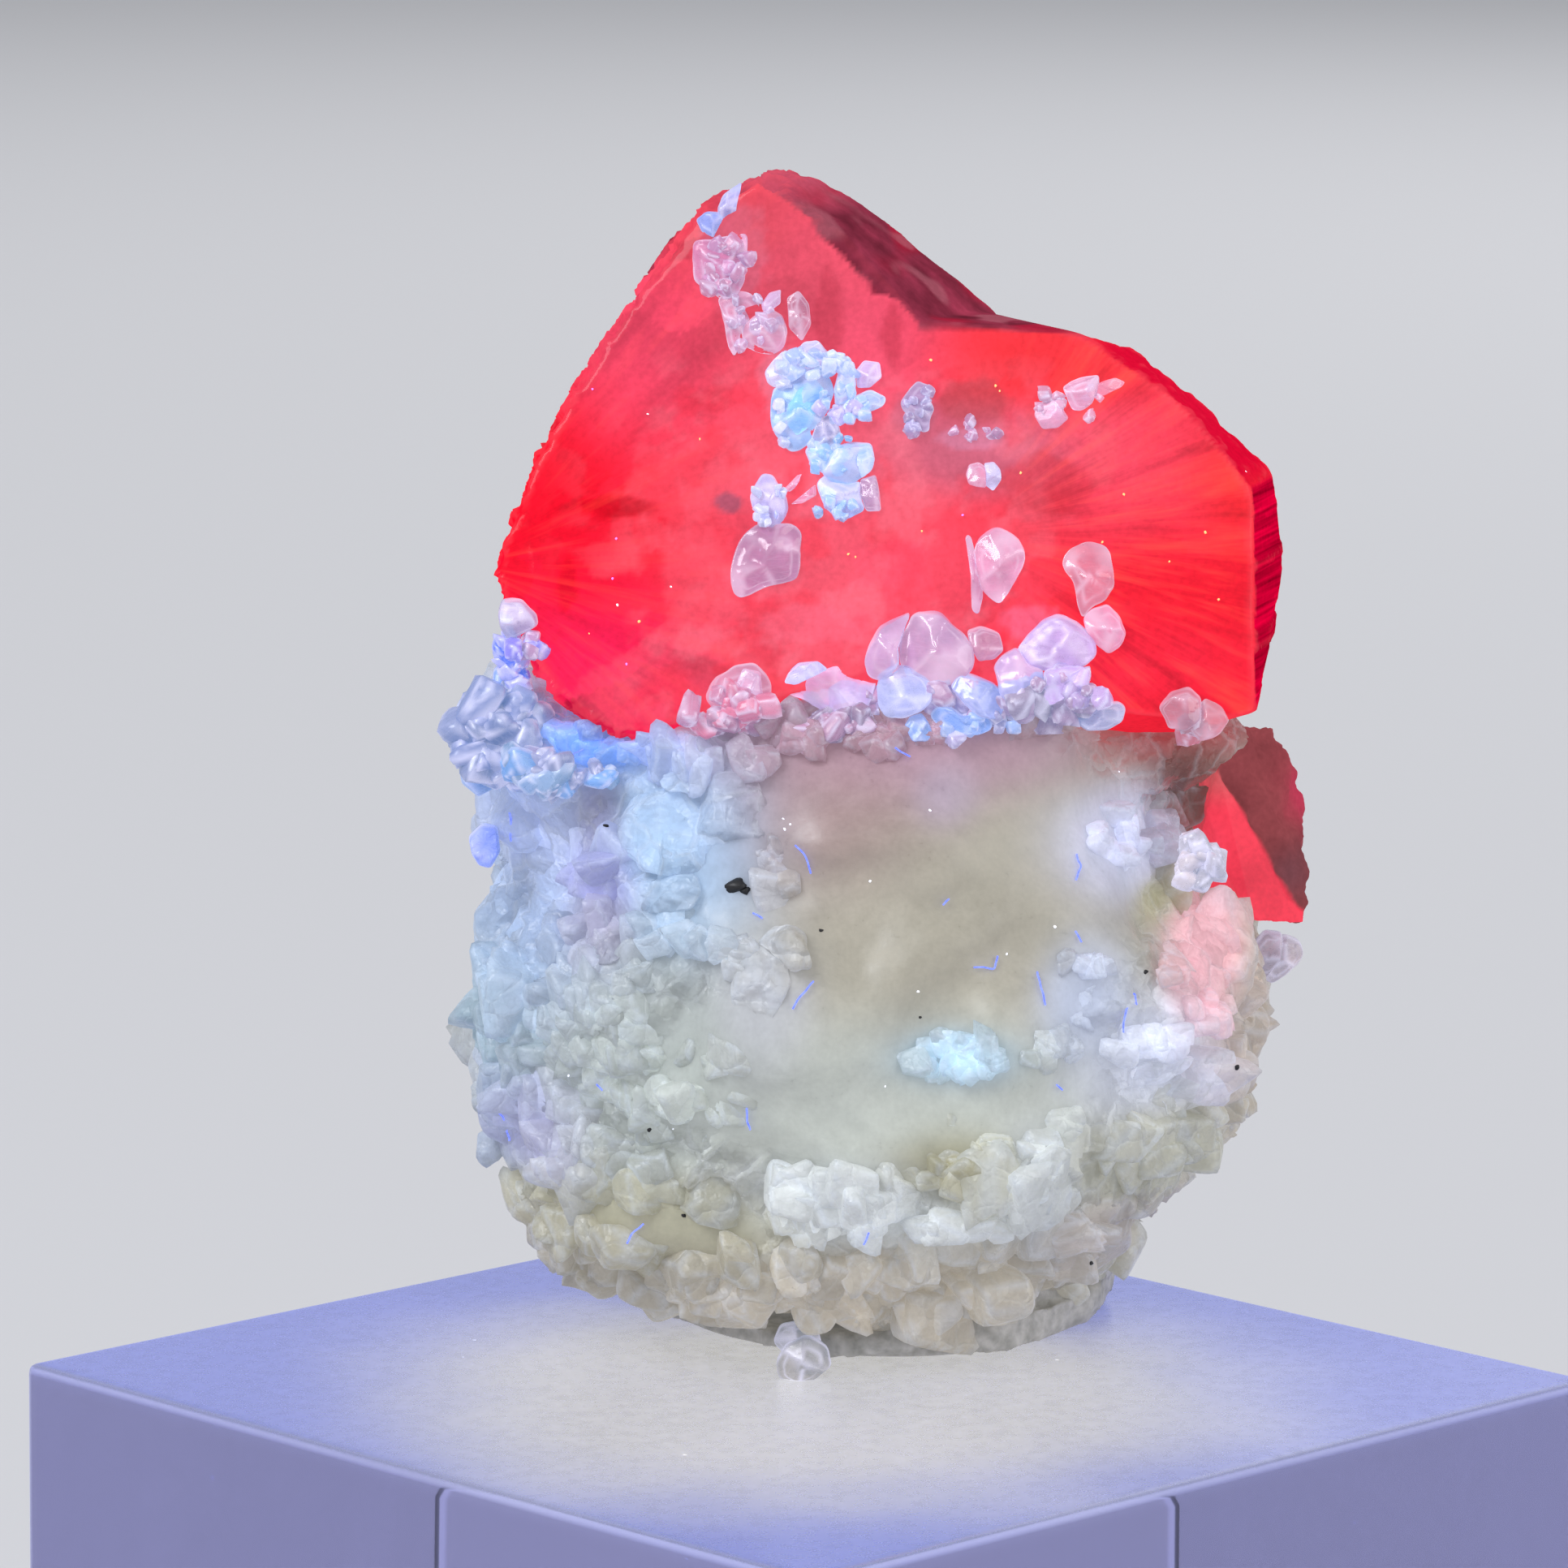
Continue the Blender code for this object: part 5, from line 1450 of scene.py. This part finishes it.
def tube(path, radius):
    """A closed thin tube along a path: rings of points, each set square to the path."""
    path = np.asarray(path, float)
    share = np.linspace(0, len(path) - 1, FIBRE_STEPS)
    line = np.stack([np.interp(share, np.arange(len(path)), path[:, k]) for k in range(3)], -1)
    for _ in range(2):
        line[1:-1] = (line[:-2] + line[1:-1] * 2 + line[2:]) / 4
    line += 0.05 * rough_shift(line, 0.35, 1, 71)
    along = np.gradient(line, axis=0)
    along /= np.linalg.norm(along, axis=1, keepdims=True)
    across = np.cross(along, [0.1, 1.0, 0.2])
    across /= np.linalg.norm(across, axis=1, keepdims=True)
    other = np.cross(along, across)
    angle = np.linspace(0, 2 * math.pi, FIBRE_SIDES, endpoint=False)
    ring = np.cos(angle)[:, None] * across[:, None] + np.sin(angle)[:, None] * other[:, None]
    points = (line[:, None] + ring * radius).reshape(-1, 3)
    ids = np.arange(len(points)).reshape(FIBRE_STEPS, FIBRE_SIDES)
    return points, ring_faces(ids) + [ids[0, ::-1].tolist(), ids[-1].tolist()]


fibres = make_piece("lint_fibres", *join(
    [tube([touch_front(x, z, FIBRE_LIFT) for x, z in path], FIBRE_RADIUS) for path in FIBRES]))
settle(fibres, slot="clear_calcite")
print(len(FIBRES), "fibres")

# %% [markdown]
# ## Flecks and bright specks
#
# A few black flecks of graphite sit in the marble, and tiny bright specks glint on the
# face and the stone. Both are grains of a few faces each. A fleck's row is its place and
# size in millimetres, and a speck's is its place in photo pixels.

# %% Flecks and specks
FLECKS = [(-2.2, 14.4, 0.42), (-2.0, 14.3, 0.28), (0.2, 13.3, 0.14), (9.4, 11.9, 0.13), (-5.9, 15.9, 0.16),
          (-4.6, 7.4, 0.12), (3.0, 10.9, 0.1), (-3.6, 4.9, 0.14), (8.0, 3.4, 0.12), (12.1, 8.9, 0.16)]
fleck_middles = np.array([touch_front(x, z, 0.0) for x, z, _ in FLECKS])
fleck_sizes = np.array([[size, size * 0.8, size] for _, _, size in FLECKS])
flecks = make_piece("graphite_flecks", *grains(fleck_middles, fleck_sizes, 43, crisp=9, count=4)[:2])
settle(flecks, slot="putty")

# Painted glints: each speck glows warm, white or violet.
WARM_SPECK, WHITE_SPECK, VIOLET_SPECK = (1.0, 0.70, 0.45), (0.92, 0.94, 1.0), (0.80, 0.50, 1.0)
FACE_SPECKS = [
    (1045, 681, WARM_SPECK), (1054, 684, WARM_SPECK), (1228, 481, WARM_SPECK), (1233, 487, WARM_SPECK),
    (1258, 585, WARM_SPECK), (1136, 654, WARM_SPECK), (1358, 667, WARM_SPECK), (862, 545, WARM_SPECK),
    (1148, 450, WARM_SPECK), (1385, 610, WARM_SPECK), (1440, 690, WARM_SPECK), (1485, 655, WARM_SPECK),
    (1500, 735, WARM_SPECK), (788, 761, WARM_SPECK), (727, 776, WARM_SPECK), (797, 516, WHITE_SPECK),
    (827, 720, WHITE_SPECK), (761, 742, WHITE_SPECK), (759, 664, VIOLET_SPECK), (773, 811, VIOLET_SPECK),
    (728, 487, VIOLET_SPECK), (755, 711, VIOLET_SPECK), (940, 678, WHITE_SPECK), (1537, 586, WHITE_SPECK),
    (1186, 635, VIOLET_SPECK), (1300, 805, WHITE_SPECK)]
MARBLE_SPECKS = [
    (965, 1010), (974, 1016), (967, 1022), (1072, 1082), (1385, 975), (1090, 1325), (1146, 1000),
    (1240, 1172), (1300, 1142), (1130, 1210), (830, 1385), (700, 1330)]
face_spots = seen_at([speck[:2] for speck in FACE_SPECKS], 1.5)
face_spots[:, 1] = [face_depth(spot) - 0.04 for spot in face_spots]
stone_spots = seen_at(MARBLE_SPECKS, -1.5)
stone_spots = np.array([touch_front(x, z, 0.0) for x, _, z in stone_spots])
chance = np.random.default_rng(47)
speck_sizes = chance.uniform(0.04, 0.09, (len(face_spots) + len(stone_spots), 3))
glint_tints = linear([speck[2] for speck in FACE_SPECKS] + [WHITE_SPECK] * len(stone_spots))
points, faces = grains(np.concatenate([face_spots, stone_spots]), speck_sizes, 49, crisp=9, count=3)[:2]
specks = make_piece("bright_specks", points, faces,
                    tint=np.repeat(glint_tints, len(points) // len(glint_tints), axis=0))
settle(specks, slot="clear_calcite")
print(len(FLECKS), "flecks and", len(speck_sizes), "specks")

# %% [markdown]
# ## Shared effects for the finishes
#
# A shader node group is a small machine with named inputs and outputs. `stone_relief`
# gives fine bumps and cleavage layers, and `packed_grains` gives fused grains, each with
# a tilted face. Both are built once and placed in the materials that use them. First come
# a few helpers, because they keep a chain of nodes as short as a line of arithmetic.

# %% Node helpers
def new_group(name, inputs, outputs):
    """An empty shader group with named sockets."""
    group = bpy.data.node_groups.new(name, "ShaderNodeTree")
    for label, kind, value in inputs:
        socket = group.interface.new_socket(label, in_out="INPUT", socket_type=kind)
        socket.default_value = value
    for label, kind in outputs:
        group.interface.new_socket(label, in_out="OUTPUT", socket_type=kind)
    return group, group.nodes.new("NodeGroupInput"), group.nodes.new("NodeGroupOutput")


def set_input(socket, value):
    """Link an input to another node's output, or set its own value."""
    if isinstance(value, bpy.types.NodeSocket):
        socket.id_data.links.new(value, socket)
    else:
        socket.default_value = value


def add_node(tree, kind, inputs=None, **settings):
    """A node with its settings made and its inputs linked or set."""
    node = tree.nodes.new(kind)
    for label, value in settings.items():
        setattr(node, label, value)
    for label, value in (inputs or {}).items():
        set_input(node.inputs[label], value)
    return node


def feed(node, **values):
    """Link or set a node's named inputs; a _ in a name stands for a space."""
    for label, value in values.items():
        set_input(node.inputs[label.replace("_", " ")], value)


def math_node(tree, operation, first, second=0.0):
    """One arithmetic step."""
    return add_node(tree, "ShaderNodeMath", {0: first, 1: second}, operation=operation).outputs[0]


def times(tree, first, second):
    """A product."""
    return math_node(tree, "MULTIPLY", first, second)


def plus(tree, first, second):
    """A sum."""
    return math_node(tree, "ADD", first, second)


def vector_node(tree, operation, inputs, output=0):
    """One step with vectors."""
    return add_node(tree, "ShaderNodeVectorMath", inputs, operation=operation).outputs[output]


def noise(tree, place, scale, detail, output="Fac", **inputs):
    """Noise from 0 to 1 at places, of a chosen fineness."""
    inputs = {"Vector": place, "Scale": scale, "Detail": detail, **inputs}
    return add_node(tree, "ShaderNodeTexNoise", inputs).outputs[output]


def stretched(tree, value, start, end, low, high, **settings):
    """The range of a value from start to end, stretched to run from low to high."""
    inputs = {"Value": value, "From Min": start, "From Max": end, "To Min": low, "To Max": high}
    return add_node(tree, "ShaderNodeMapRange", inputs, **settings).outputs["Result"]


def remapped(tree, value, low, high):
    """A value near one half stretched to run from low to high."""
    return stretched(tree, value, 0.3, 0.7, low, high)


def object_place(tree):
    """The place of each point on its object, in metres."""
    return add_node(tree, "ShaderNodeTexCoord").outputs["Object"]


def read_attribute(tree, label, output="Fac"):
    """A point attribute as a number, a colour or a vector."""
    return add_node(tree, "ShaderNodeAttribute", attribute_name=label).outputs[output]


def mix_colours(tree, share, first, second):
    """A blend of two colours."""
    return add_node(tree, "ShaderNodeMix", {0: share, 6: first, 7: second}, data_type="RGBA").outputs[2]


def scaled(tree, colour, amount):
    """A colour made brighter or darker."""
    if not isinstance(amount, bpy.types.NodeSocket):
        amount = (amount, amount, amount, 1)
    return add_node(tree, "ShaderNodeMix", {0: 1.0, 6: colour, 7: amount}, data_type="RGBA",
                    blend_type="MULTIPLY").outputs[2]


# %% [markdown]
# ## The two shared groups
#
# In a group, sockets carry the numbers in and out. Sizes are given in millimetres and
# turned into the scale of a pattern, which counts its cells in a metre.

# %% Stone relief and packed grains
def stone_relief_group():
    """Fine relief from noise, and layers along the stone's own cleavage, sizes in millimetres."""
    group, inlet, outlet = new_group(
        "stone_relief",
        [("Own place", "NodeSocketVector", (0, 0, 0)), ("Size mm", "NodeSocketFloat", 0.5),
         ("Layers", "NodeSocketFloat", 0.5), ("Roughness", "NodeSocketFloat", 0.4)],
        [("Height", "NodeSocketFloat"), ("Speckle", "NodeSocketFloat"), ("Layer lines", "NodeSocketFloat"),
         ("Roughness", "NodeSocketFloat")])
    place = object_place(group)
    scale = math_node(group, "DIVIDE", 1000.0, inlet.outputs["Size mm"])
    broad = noise(group, place, scale, 6.0, Roughness=0.62)
    flat = add_node(group, "ShaderNodeMapping", {"Vector": inlet.outputs["Own place"],
                                                 "Scale": (0.9, 5.0, 0.6)}).outputs["Vector"]
    layers = noise(group, flat, 1.0, 4.0, Roughness=0.6, Distortion=0.4)
    cracks = add_node(group, "ShaderNodeTexVoronoi", {"Vector": flat, "Scale": 0.9},
                      feature="DISTANCE_TO_EDGE").outputs["Distance"]
    both = plus(group, times(group, noise(group, place, times(group, scale, 2.6), 3.0), 0.5),
                times(group, layers, 0.5))
    rough_change = times(group, math_node(group, "SUBTRACT", both, 0.5), 0.7)
    stepped = times(group, layers, inlet.outputs["Layers"])
    feed(outlet, Height=plus(group, times(group, broad, 0.5), stepped),
         Layer_lines=stretched(group, cracks, 0.0, 0.07, 1.0, 0.0), Speckle=both,
         Roughness=plus(group, inlet.outputs["Roughness"], rough_change))
    return group


def packed_grains_group():
    """Fused grains: random cells, each with a tilted face, a tone of its own and a seam at its border."""
    group, inlet, outlet = new_group(
        "packed_grains", [("Size mm", "NodeSocketFloat", 1.2)],
        [("Height", "NodeSocketFloat"), ("Tone", "NodeSocketFloat"), ("Seam", "NodeSocketFloat")])
    scale = math_node(group, "DIVIDE", 1000.0, inlet.outputs["Size mm"])
    grid = vector_node(group, "SCALE", {0: object_place(group), "Scale": scale})
    bend = noise(group, grid, 1.3, 3.0, "Color")
    grid = vector_node(group, "MULTIPLY_ADD", {0: bend, 1: (0.6, 0.6, 0.6), 2: grid})
    tilts, tones = [], []
    for fineness in (1.0, 2.7):
        cells = add_node(group, "ShaderNodeTexVoronoi", {"Vector": grid, "Scale": fineness})
        offset = vector_node(group, "SUBTRACT", {0: grid, 1: cells.outputs["Position"]})
        slope = vector_node(group, "SUBTRACT", {0: cells.outputs["Color"], 1: (0.5, 0.5, 0.5)})
        tilts.append(vector_node(group, "DOT_PRODUCT", {0: offset, 1: slope}, "Value"))
        tones.append(cells.outputs["Color"])
    border = add_node(group, "ShaderNodeTexVoronoi", {"Vector": grid, "Scale": 1.0},
                      feature="DISTANCE_TO_EDGE").outputs["Distance"]
    seam = stretched(group, border, 0.0, 0.09, 1.0, 0.0)
    feed(outlet, Height=math_node(group, "SUBTRACT", plus(group, *tilts), times(group, seam, 0.06)),
         Tone=times(group, tones[0], 1.0), Seam=seam)
    return group


RELIEF = stone_relief_group()
PACKED = packed_grains_group()
print("groups", RELIEF.name, PACKED.name)

# %% [markdown]
# ## Starting a finish
#
# Every finish starts from a Principled shader. Values that are the same all over the
# surface are set on its own sockets, and the shared relief is linked to its normal and
# its roughness.

# %% Start a finish
def new_finish(name, **values):
    """A material whose Principled shader has plain values set on its own sockets."""
    material = bpy.data.materials.new(name)
    material.use_nodes = True
    material.cycles.emission_sampling = "NONE"
    shader = material.node_tree.nodes["Principled BSDF"]
    for label, value in values.items():
        shader.inputs[label.replace("_", " ")].default_value = value
    return material, material.node_tree, shader


def add_relief(tree, shader, size, roughness, strength, distance, layers=0.5, under=None):
    """Place the shared relief in a material: bumps into Normal, over another bump, and its roughness."""
    relief = add_node(tree, "ShaderNodeGroup", {"Size mm": size, "Layers": layers, "Roughness": roughness,
                                                "Own place": read_attribute(tree, "own", "Vector")},
                      node_tree=RELIEF)
    bump = add_node(tree, "ShaderNodeBump", {"Height": relief.outputs["Height"], "Strength": strength,
                                             "Distance": distance * MM})
    if under:
        feed(bump, Normal=under)
    feed(shader, Normal=bump.outputs["Normal"], Roughness=relief.outputs["Roughness"])
    return relief


# %% [markdown]
# ## Spinel
#
# The crystal's own glow does most of the work, so its colour goes to both the base and
# the emission. A gloss coat gives the clean faces their shine, and chipped edges are
# lighter, because light leaks out of them.

# %% Spinel finish
def spinel_finish():
    """Glow by place, darkened and warmed by two fans of streaks, with ledge lines on the sides."""
    material, tree, shader = new_finish(
        "spinel_glow", Metallic=0.0, IOR=1.72, Specular_IOR_Level=0.0, Coat_IOR=1.4, Coat_Roughness=0.12,
        Emission_Strength=0.80)
    relief = add_relief(tree, shader, 0.45, 0.30, 0.30, 0.04, layers=0.1)
    streak = read_attribute(tree, "streak")
    broad = noise(tree, read_attribute(tree, "fan", "Vector"), 1.0, 4.0, Roughness=0.62, Distortion=0.25)
    dark = times(tree, remapped(tree, broad, 0.36, -0.30), streak)
    flat = add_node(tree, "ShaderNodeMapping", {"Vector": object_place(tree),
                                                "Scale": (150.0, 150.0, 7000.0)}).outputs["Vector"]
    ledges = remapped(tree, noise(tree, flat, 1.0, 2.0), -0.45, 0.45)
    speckle = remapped(tree, relief.outputs["Speckle"], 0.84, 1.16)
    level = plus(tree, math_node(tree, "SUBTRACT", speckle, dark),
                 times(tree, ledges, read_attribute(tree, "side")))
    shaded = scaled(tree, read_attribute(tree, "glow", "Color"), level)
    warm = math_node(tree, "MAXIMUM", times(tree, remapped(tree, broad, -0.4, 0.4), streak), 0.0)
    warmed = mix_colours(tree, warm, shaded, (1.0, 0.11, 0.06, 1))
    edge = times(tree, read_attribute(tree, "edge"), 0.35)
    rougher = times(tree, read_attribute(tree, "dull"), 0.35)
    feed(shader, Coat_Weight=read_attribute(tree, "gloss"),
         Roughness=plus(tree, relief.outputs["Roughness"], rougher),
         Base_Color=scaled(tree, warmed, 0.26),
         Emission_Color=mix_colours(tree, edge, warmed, (1.0, 0.10, 0.14, 1)))
    return material


# %% [markdown]
# ## Marble and clear calcite
#
# Marble lets light in and gives it back softly, which the subsurface setting does, and
# its colour also goes to the emission as a painted glow that lightens its shade. The
# clear grains pass light straight through: plain transmission with calcite's index of
# refraction, and a faint painted glow, bluish all over and brighter along their rims
# where the lamp's light gathers.

# %% Marble and calcite finishes
def marble_finish(name, size):
    """A soft stone, tinted by place, whose packed grains tilt its surface and differ in tone; its colour
    also glows as painted light.
    """
    material, tree, shader = new_finish(
        name, Metallic=0.0, IOR=1.6, Specular_IOR_Level=0.30, Subsurface_Weight=0.4,
        Subsurface_Scale=0.0006, Emission_Strength=0.40)
    shader.subsurface_method = "BURLEY"
    shader.inputs["Subsurface Radius"].default_value = (1.0, 0.95, 0.95)
    grainy = read_attribute(tree, "grainy")
    packed = add_node(tree, "ShaderNodeGroup", {"Size mm": size}, node_tree=PACKED)
    faces = add_node(tree, "ShaderNodeBump", {
        "Height": times(tree, packed.outputs["Height"], grainy),
        "Strength": 0.8, "Distance": 1.1 * size * MM}).outputs["Normal"]
    relief = add_relief(tree, shader, 0.4, 0.38, 0.35, 0.05, 0.15, under=faces)
    tone = times(tree, math_node(tree, "SUBTRACT", packed.outputs["Tone"], 0.5), grainy)
    level = plus(tree, remapped(tree, relief.outputs["Speckle"], 0.92, 1.08), times(tree, tone, 0.42))
    shaded = scaled(tree, read_attribute(tree, "tint", "Color"), level)
    seam = times(tree, packed.outputs["Seam"], times(tree, grainy, 0.16))
    lined = mix_colours(tree, seam, shaded, (0.74, 0.79, 0.86, 1))
    # The emission is a painted glow that lifts the stone's shade.
    feed(shader, Base_Color=scaled(tree, lined, 0.66), Emission_Color=lined)
    return material


def clear_finish(name, transmission, glow, roughness):
    """A clear stone with a faint painted glow, paler and brighter along its edges and its cleavage lines,
    which are painted highlights.
    """
    material, tree, shader = new_finish(
        name, Metallic=0.0, IOR=1.57, Transmission_Weight=transmission, Emission_Strength=glow)
    relief = add_relief(tree, shader, 0.35, roughness, 0.3, 0.03, layers=0.3)
    lines = times(tree, relief.outputs["Layer lines"], 0.15)
    light = math_node(tree, "MAXIMUM", read_attribute(tree, "edge"), lines)
    speckle = remapped(tree, relief.outputs["Speckle"], 0.90, 1.10)
    shaded = scaled(tree, read_attribute(tree, "tint", "Color"), speckle)
    # Painted highlights: edges and cleavage lines are paled and brightened.
    pale = mix_colours(tree, times(tree, light, 0.5), shaded, (0.72, 0.74, 0.95, 1))
    # Painted glow: the tint, cooled towards blue, shines from the whole stone.
    blue_glow = mix_colours(tree, 0.6, shaded, (0.24, 0.52, 0.92, 1))
    lit = mix_colours(tree, times(tree, light, 0.85), scaled(tree, blue_glow, 0.86), (0.95, 0.95, 1.25, 1))
    feed(shader, Base_Color=scaled(tree, pale, 0.8), Emission_Color=lit)
    return material


# %% [markdown]
# ## Putty, acrylic, lint and graphite
#
# The putty is matt and mottled, with a faint painted glow. The acrylic is clear with a
# lilac cast, hazy on top from years of fine scratches, and its top glows with painted
# light. The lint glows blue, and the graphite is nearly black.

# %% The other finishes
def putty_finish():
    """Matt grey, mottled by the relief, with a faint painted glow that lightens its shade."""
    material, tree, shader = new_finish("mineral_putty", Metallic=0.0, Emission_Strength=0.14)
    relief = add_relief(tree, shader, 0.9, 0.72, 0.7, 0.12)
    colour = mix_colours(tree, remapped(tree, relief.outputs["Speckle"], 0.0, 1.0),
                         (*linear((0.50, 0.50, 0.48)), 1), (*linear((0.80, 0.79, 0.78)), 1))
    # The colour also goes to the emission: a painted glow.
    feed(shader, Base_Color=colour, Emission_Color=colour)
    return material


def acrylic_finish():
    """Clear plastic with bright bevels, a painted highlight; its hazy top is lit in the middle, a painted
    pool of light, and it has specks of dust that glow.
    """
    material, tree, shader = new_finish(
        "clear_acrylic", Metallic=0.0, IOR=1.49, Transmission_Weight=0.88, Emission_Strength=0.30)
    haze = read_attribute(tree, "haze")
    body = mix_colours(tree, haze, (*linear((0.63, 0.63, 0.83)), 1), (*linear((0.82, 0.83, 0.97)), 1))
    place = object_place(tree)
    marks = noise(tree, place, 1800.0, 5.0, Roughness=0.7)
    rougher = times(tree, haze, remapped(tree, marks, 0.22, 0.30))
    # Painted light: a cream pool round the stone's foot on the top, and blue elsewhere.
    distance = vector_node(tree, "DISTANCE", {0: place, 1: (0.0, -0.003, CUBE_TOP * MM)}, "Value")
    away = plus(tree, distance, remapped(tree, noise(tree, place, 110.0, 2.0), -0.0012, 0.0012))
    warm = stretched(tree, away, 0.006, 0.018, 1.0, 0.0, interpolation_type="SMOOTHERSTEP")
    lit = mix_colours(tree, warm, (0.31, 0.39, 1.14, 1), (1.20, 1.18, 1.08, 1))
    dots = add_node(tree, "ShaderNodeTexVoronoi", {"Vector": place, "Scale": 520.0})
    kept = math_node(tree, "GREATER_THAN", dots.outputs["Color"], 0.55)
    dust = times(tree, math_node(tree, "LESS_THAN", dots.outputs["Distance"], 0.035), kept)
    # The hazy top and the dust specks glow with painted light.
    faint = times(tree, remapped(tree, marks, 1.08, 1.34), haze)
    glowing = scaled(tree, lit, plus(tree, faint, times(tree, dust, 1.2)))
    # Painted highlight: the bevels glow blue-white.
    bevel = times(tree, read_attribute(tree, "bevel"), 0.7)
    feed(shader, Base_Color=body, Roughness=plus(tree, rougher, 0.02),
         Emission_Color=mix_colours(tree, bevel, glowing, (0.62, 0.66, 1.0, 1)))
    return material


def lint_finish():
    """Blue fibres that glow, a little mottled."""
    material, tree, shader = new_finish("lint_blue", Emission_Strength=1.5)
    relief = add_relief(tree, shader, 0.3, 0.6, 0.3, 0.01)
    colour = mix_colours(tree, remapped(tree, relief.outputs["Speckle"], 0.0, 1.0), (0.05, 0.09, 1.0, 1),
                         (0.26, 0.34, 1.0, 1))
    feed(shader, Base_Color=scaled(tree, colour, 0.3), Emission_Color=colour)
    return material


def glint_finish():
    """A painted glint: a small grain that glows in its tint."""
    material, tree, shader = new_finish("bright_speck", Roughness=0.5, Emission_Strength=0.9)
    tint = read_attribute(tree, "tint", "Color")
    feed(shader, Base_Color=tint, Emission_Color=tint)
    return material


def graphite_finish():
    """Nearly black, with a slight metal sheen."""
    material, tree, shader = new_finish("graphite_black", Metallic=0.3)
    add_relief(tree, shader, 0.2, 0.45, 0.5, 0.03)
    shader.inputs["Base Color"].default_value = (0.02, 0.02, 0.022, 1)
    return material


def dress(material, *pieces):
    """Give a finish to pieces."""
    for piece in pieces:
        piece.data.materials.clear()
        piece.data.materials.append(material)


spinel_look = spinel_finish()
core_look = marble_finish("marble_mass", 1.3)
marble_look = marble_finish("marble_grains", 0.8)
clear_look = clear_finish("clear_calcite", 0.45, 0.33, 0.14)
milky_look = clear_finish("milky_calcite", 0.20, 0.36, 0.30)
dress(spinel_look, crystal, small)
dress(core_look, core)
dress(marble_finish("marble_blocks", 1.6), marble_pieces[1])
dress(marble_look, *marble_pieces[2:])
dress(clear_look, *clear_pieces[CLEAR])
dress(milky_look, *clear_pieces[MILKY])
dress(putty_finish(), putty)
dress(acrylic_finish(), cube)
dress(lint_finish(), fibres)
dress(graphite_finish(), flecks)
dress(glint_finish(), specks)
print("finishes", [m.name for m in bpy.data.materials][:12])

# %% [markdown]
# ## Floor, lights and camera
#
# A pale floor and large soft lamps keep the stage plain. The camera stands where the
# photographer stood, a little above the cube and 22 cm away. A long lens frames the
# specimen. Plain Standard colour keeps the reds saturated.

# %% Stage
FLOOR_HALF = 3.0
FLOOR_DROP = -0.0001
floor_mesh = bpy.data.meshes.new("floor")
floor_mesh.from_pydata([(side * FLOOR_HALF, end * FLOOR_HALF, FLOOR_DROP)
                        for side, end in ((-1, -1), (1, -1), (1, 1), (-1, 1))], [], [(0, 1, 2, 3)])
floor = add_object("floor", floor_mesh)
floor_look, _, floor_shader = new_finish("pale_floor", Roughness=0.8)
floor_shader.inputs["Base Color"].default_value = (0.60, 0.60, 0.62, 1)
dress(floor_look, floor)

SENSOR = 36.0
camera_data = bpy.data.cameras.new("camera")
camera_data.sensor_width = SENSOR
camera_data.lens = FOCAL_PIXELS / PHOTO_WIDTH * SENSOR
camera_data.clip_start = 0.01
camera = add_object("camera", camera_data)
axes = Matrix([VIEW_RIGHT, VIEW_UP, TO_CAMERA]).transposed().to_4x4()
camera.matrix_world = Matrix.Translation(to_metres(EYE)) @ axes
bpy.context.scene.camera = camera


def soft_lamp(name, place, aim, size, watts, colour, mirrored=True):
    """A square area lamp, aimed at a point; places in metres. Unmirrored, it makes no highlights."""
    data = bpy.data.lights.new(name, "AREA")
    data.size = size
    data.energy = watts
    data.color = colour
    lamp = add_object(name, data)
    lamp.visible_glossy = mirrored
    lamp.matrix_world = (Matrix.Translation(place)
                         @ (Vector(aim) - Vector(place)).to_track_quat("-Z", "Y").to_matrix().to_4x4())


soft_lamp("key", (-0.55, -0.55, 0.75), (0, 0, 0.045), 0.50, 8.0, (0.94, 0.96, 1.0))
soft_lamp("fill", (0.70, -0.35, 0.35), (0, 0, 0.045), 0.60, 2.5, (1.0, 0.98, 0.97))
soft_lamp("back", (0.25, 0.80, 0.60), (0, 0, 0.05), 0.50, 3.0, (1.0, 1.0, 1.0), mirrored=False)
world = bpy.data.worlds.new("studio")
world.use_nodes = True
world.node_tree.nodes["Background"].inputs["Color"].default_value = (0.86, 0.88, 0.92, 1)
world.node_tree.nodes["Background"].inputs["Strength"].default_value = 0.50
scene = bpy.context.scene
scene.world = world
scene.cycles.max_bounces = 6
scene.cycles.transmission_bounces = 5
scene.cycles.diffuse_bounces = 1
scene.cycles.glossy_bounces = 1
scene.view_settings.view_transform = "Standard"
scene.view_settings.look = "None"
print("lamps key, fill and back; camera lens", round(camera_data.lens, 1), "mm")
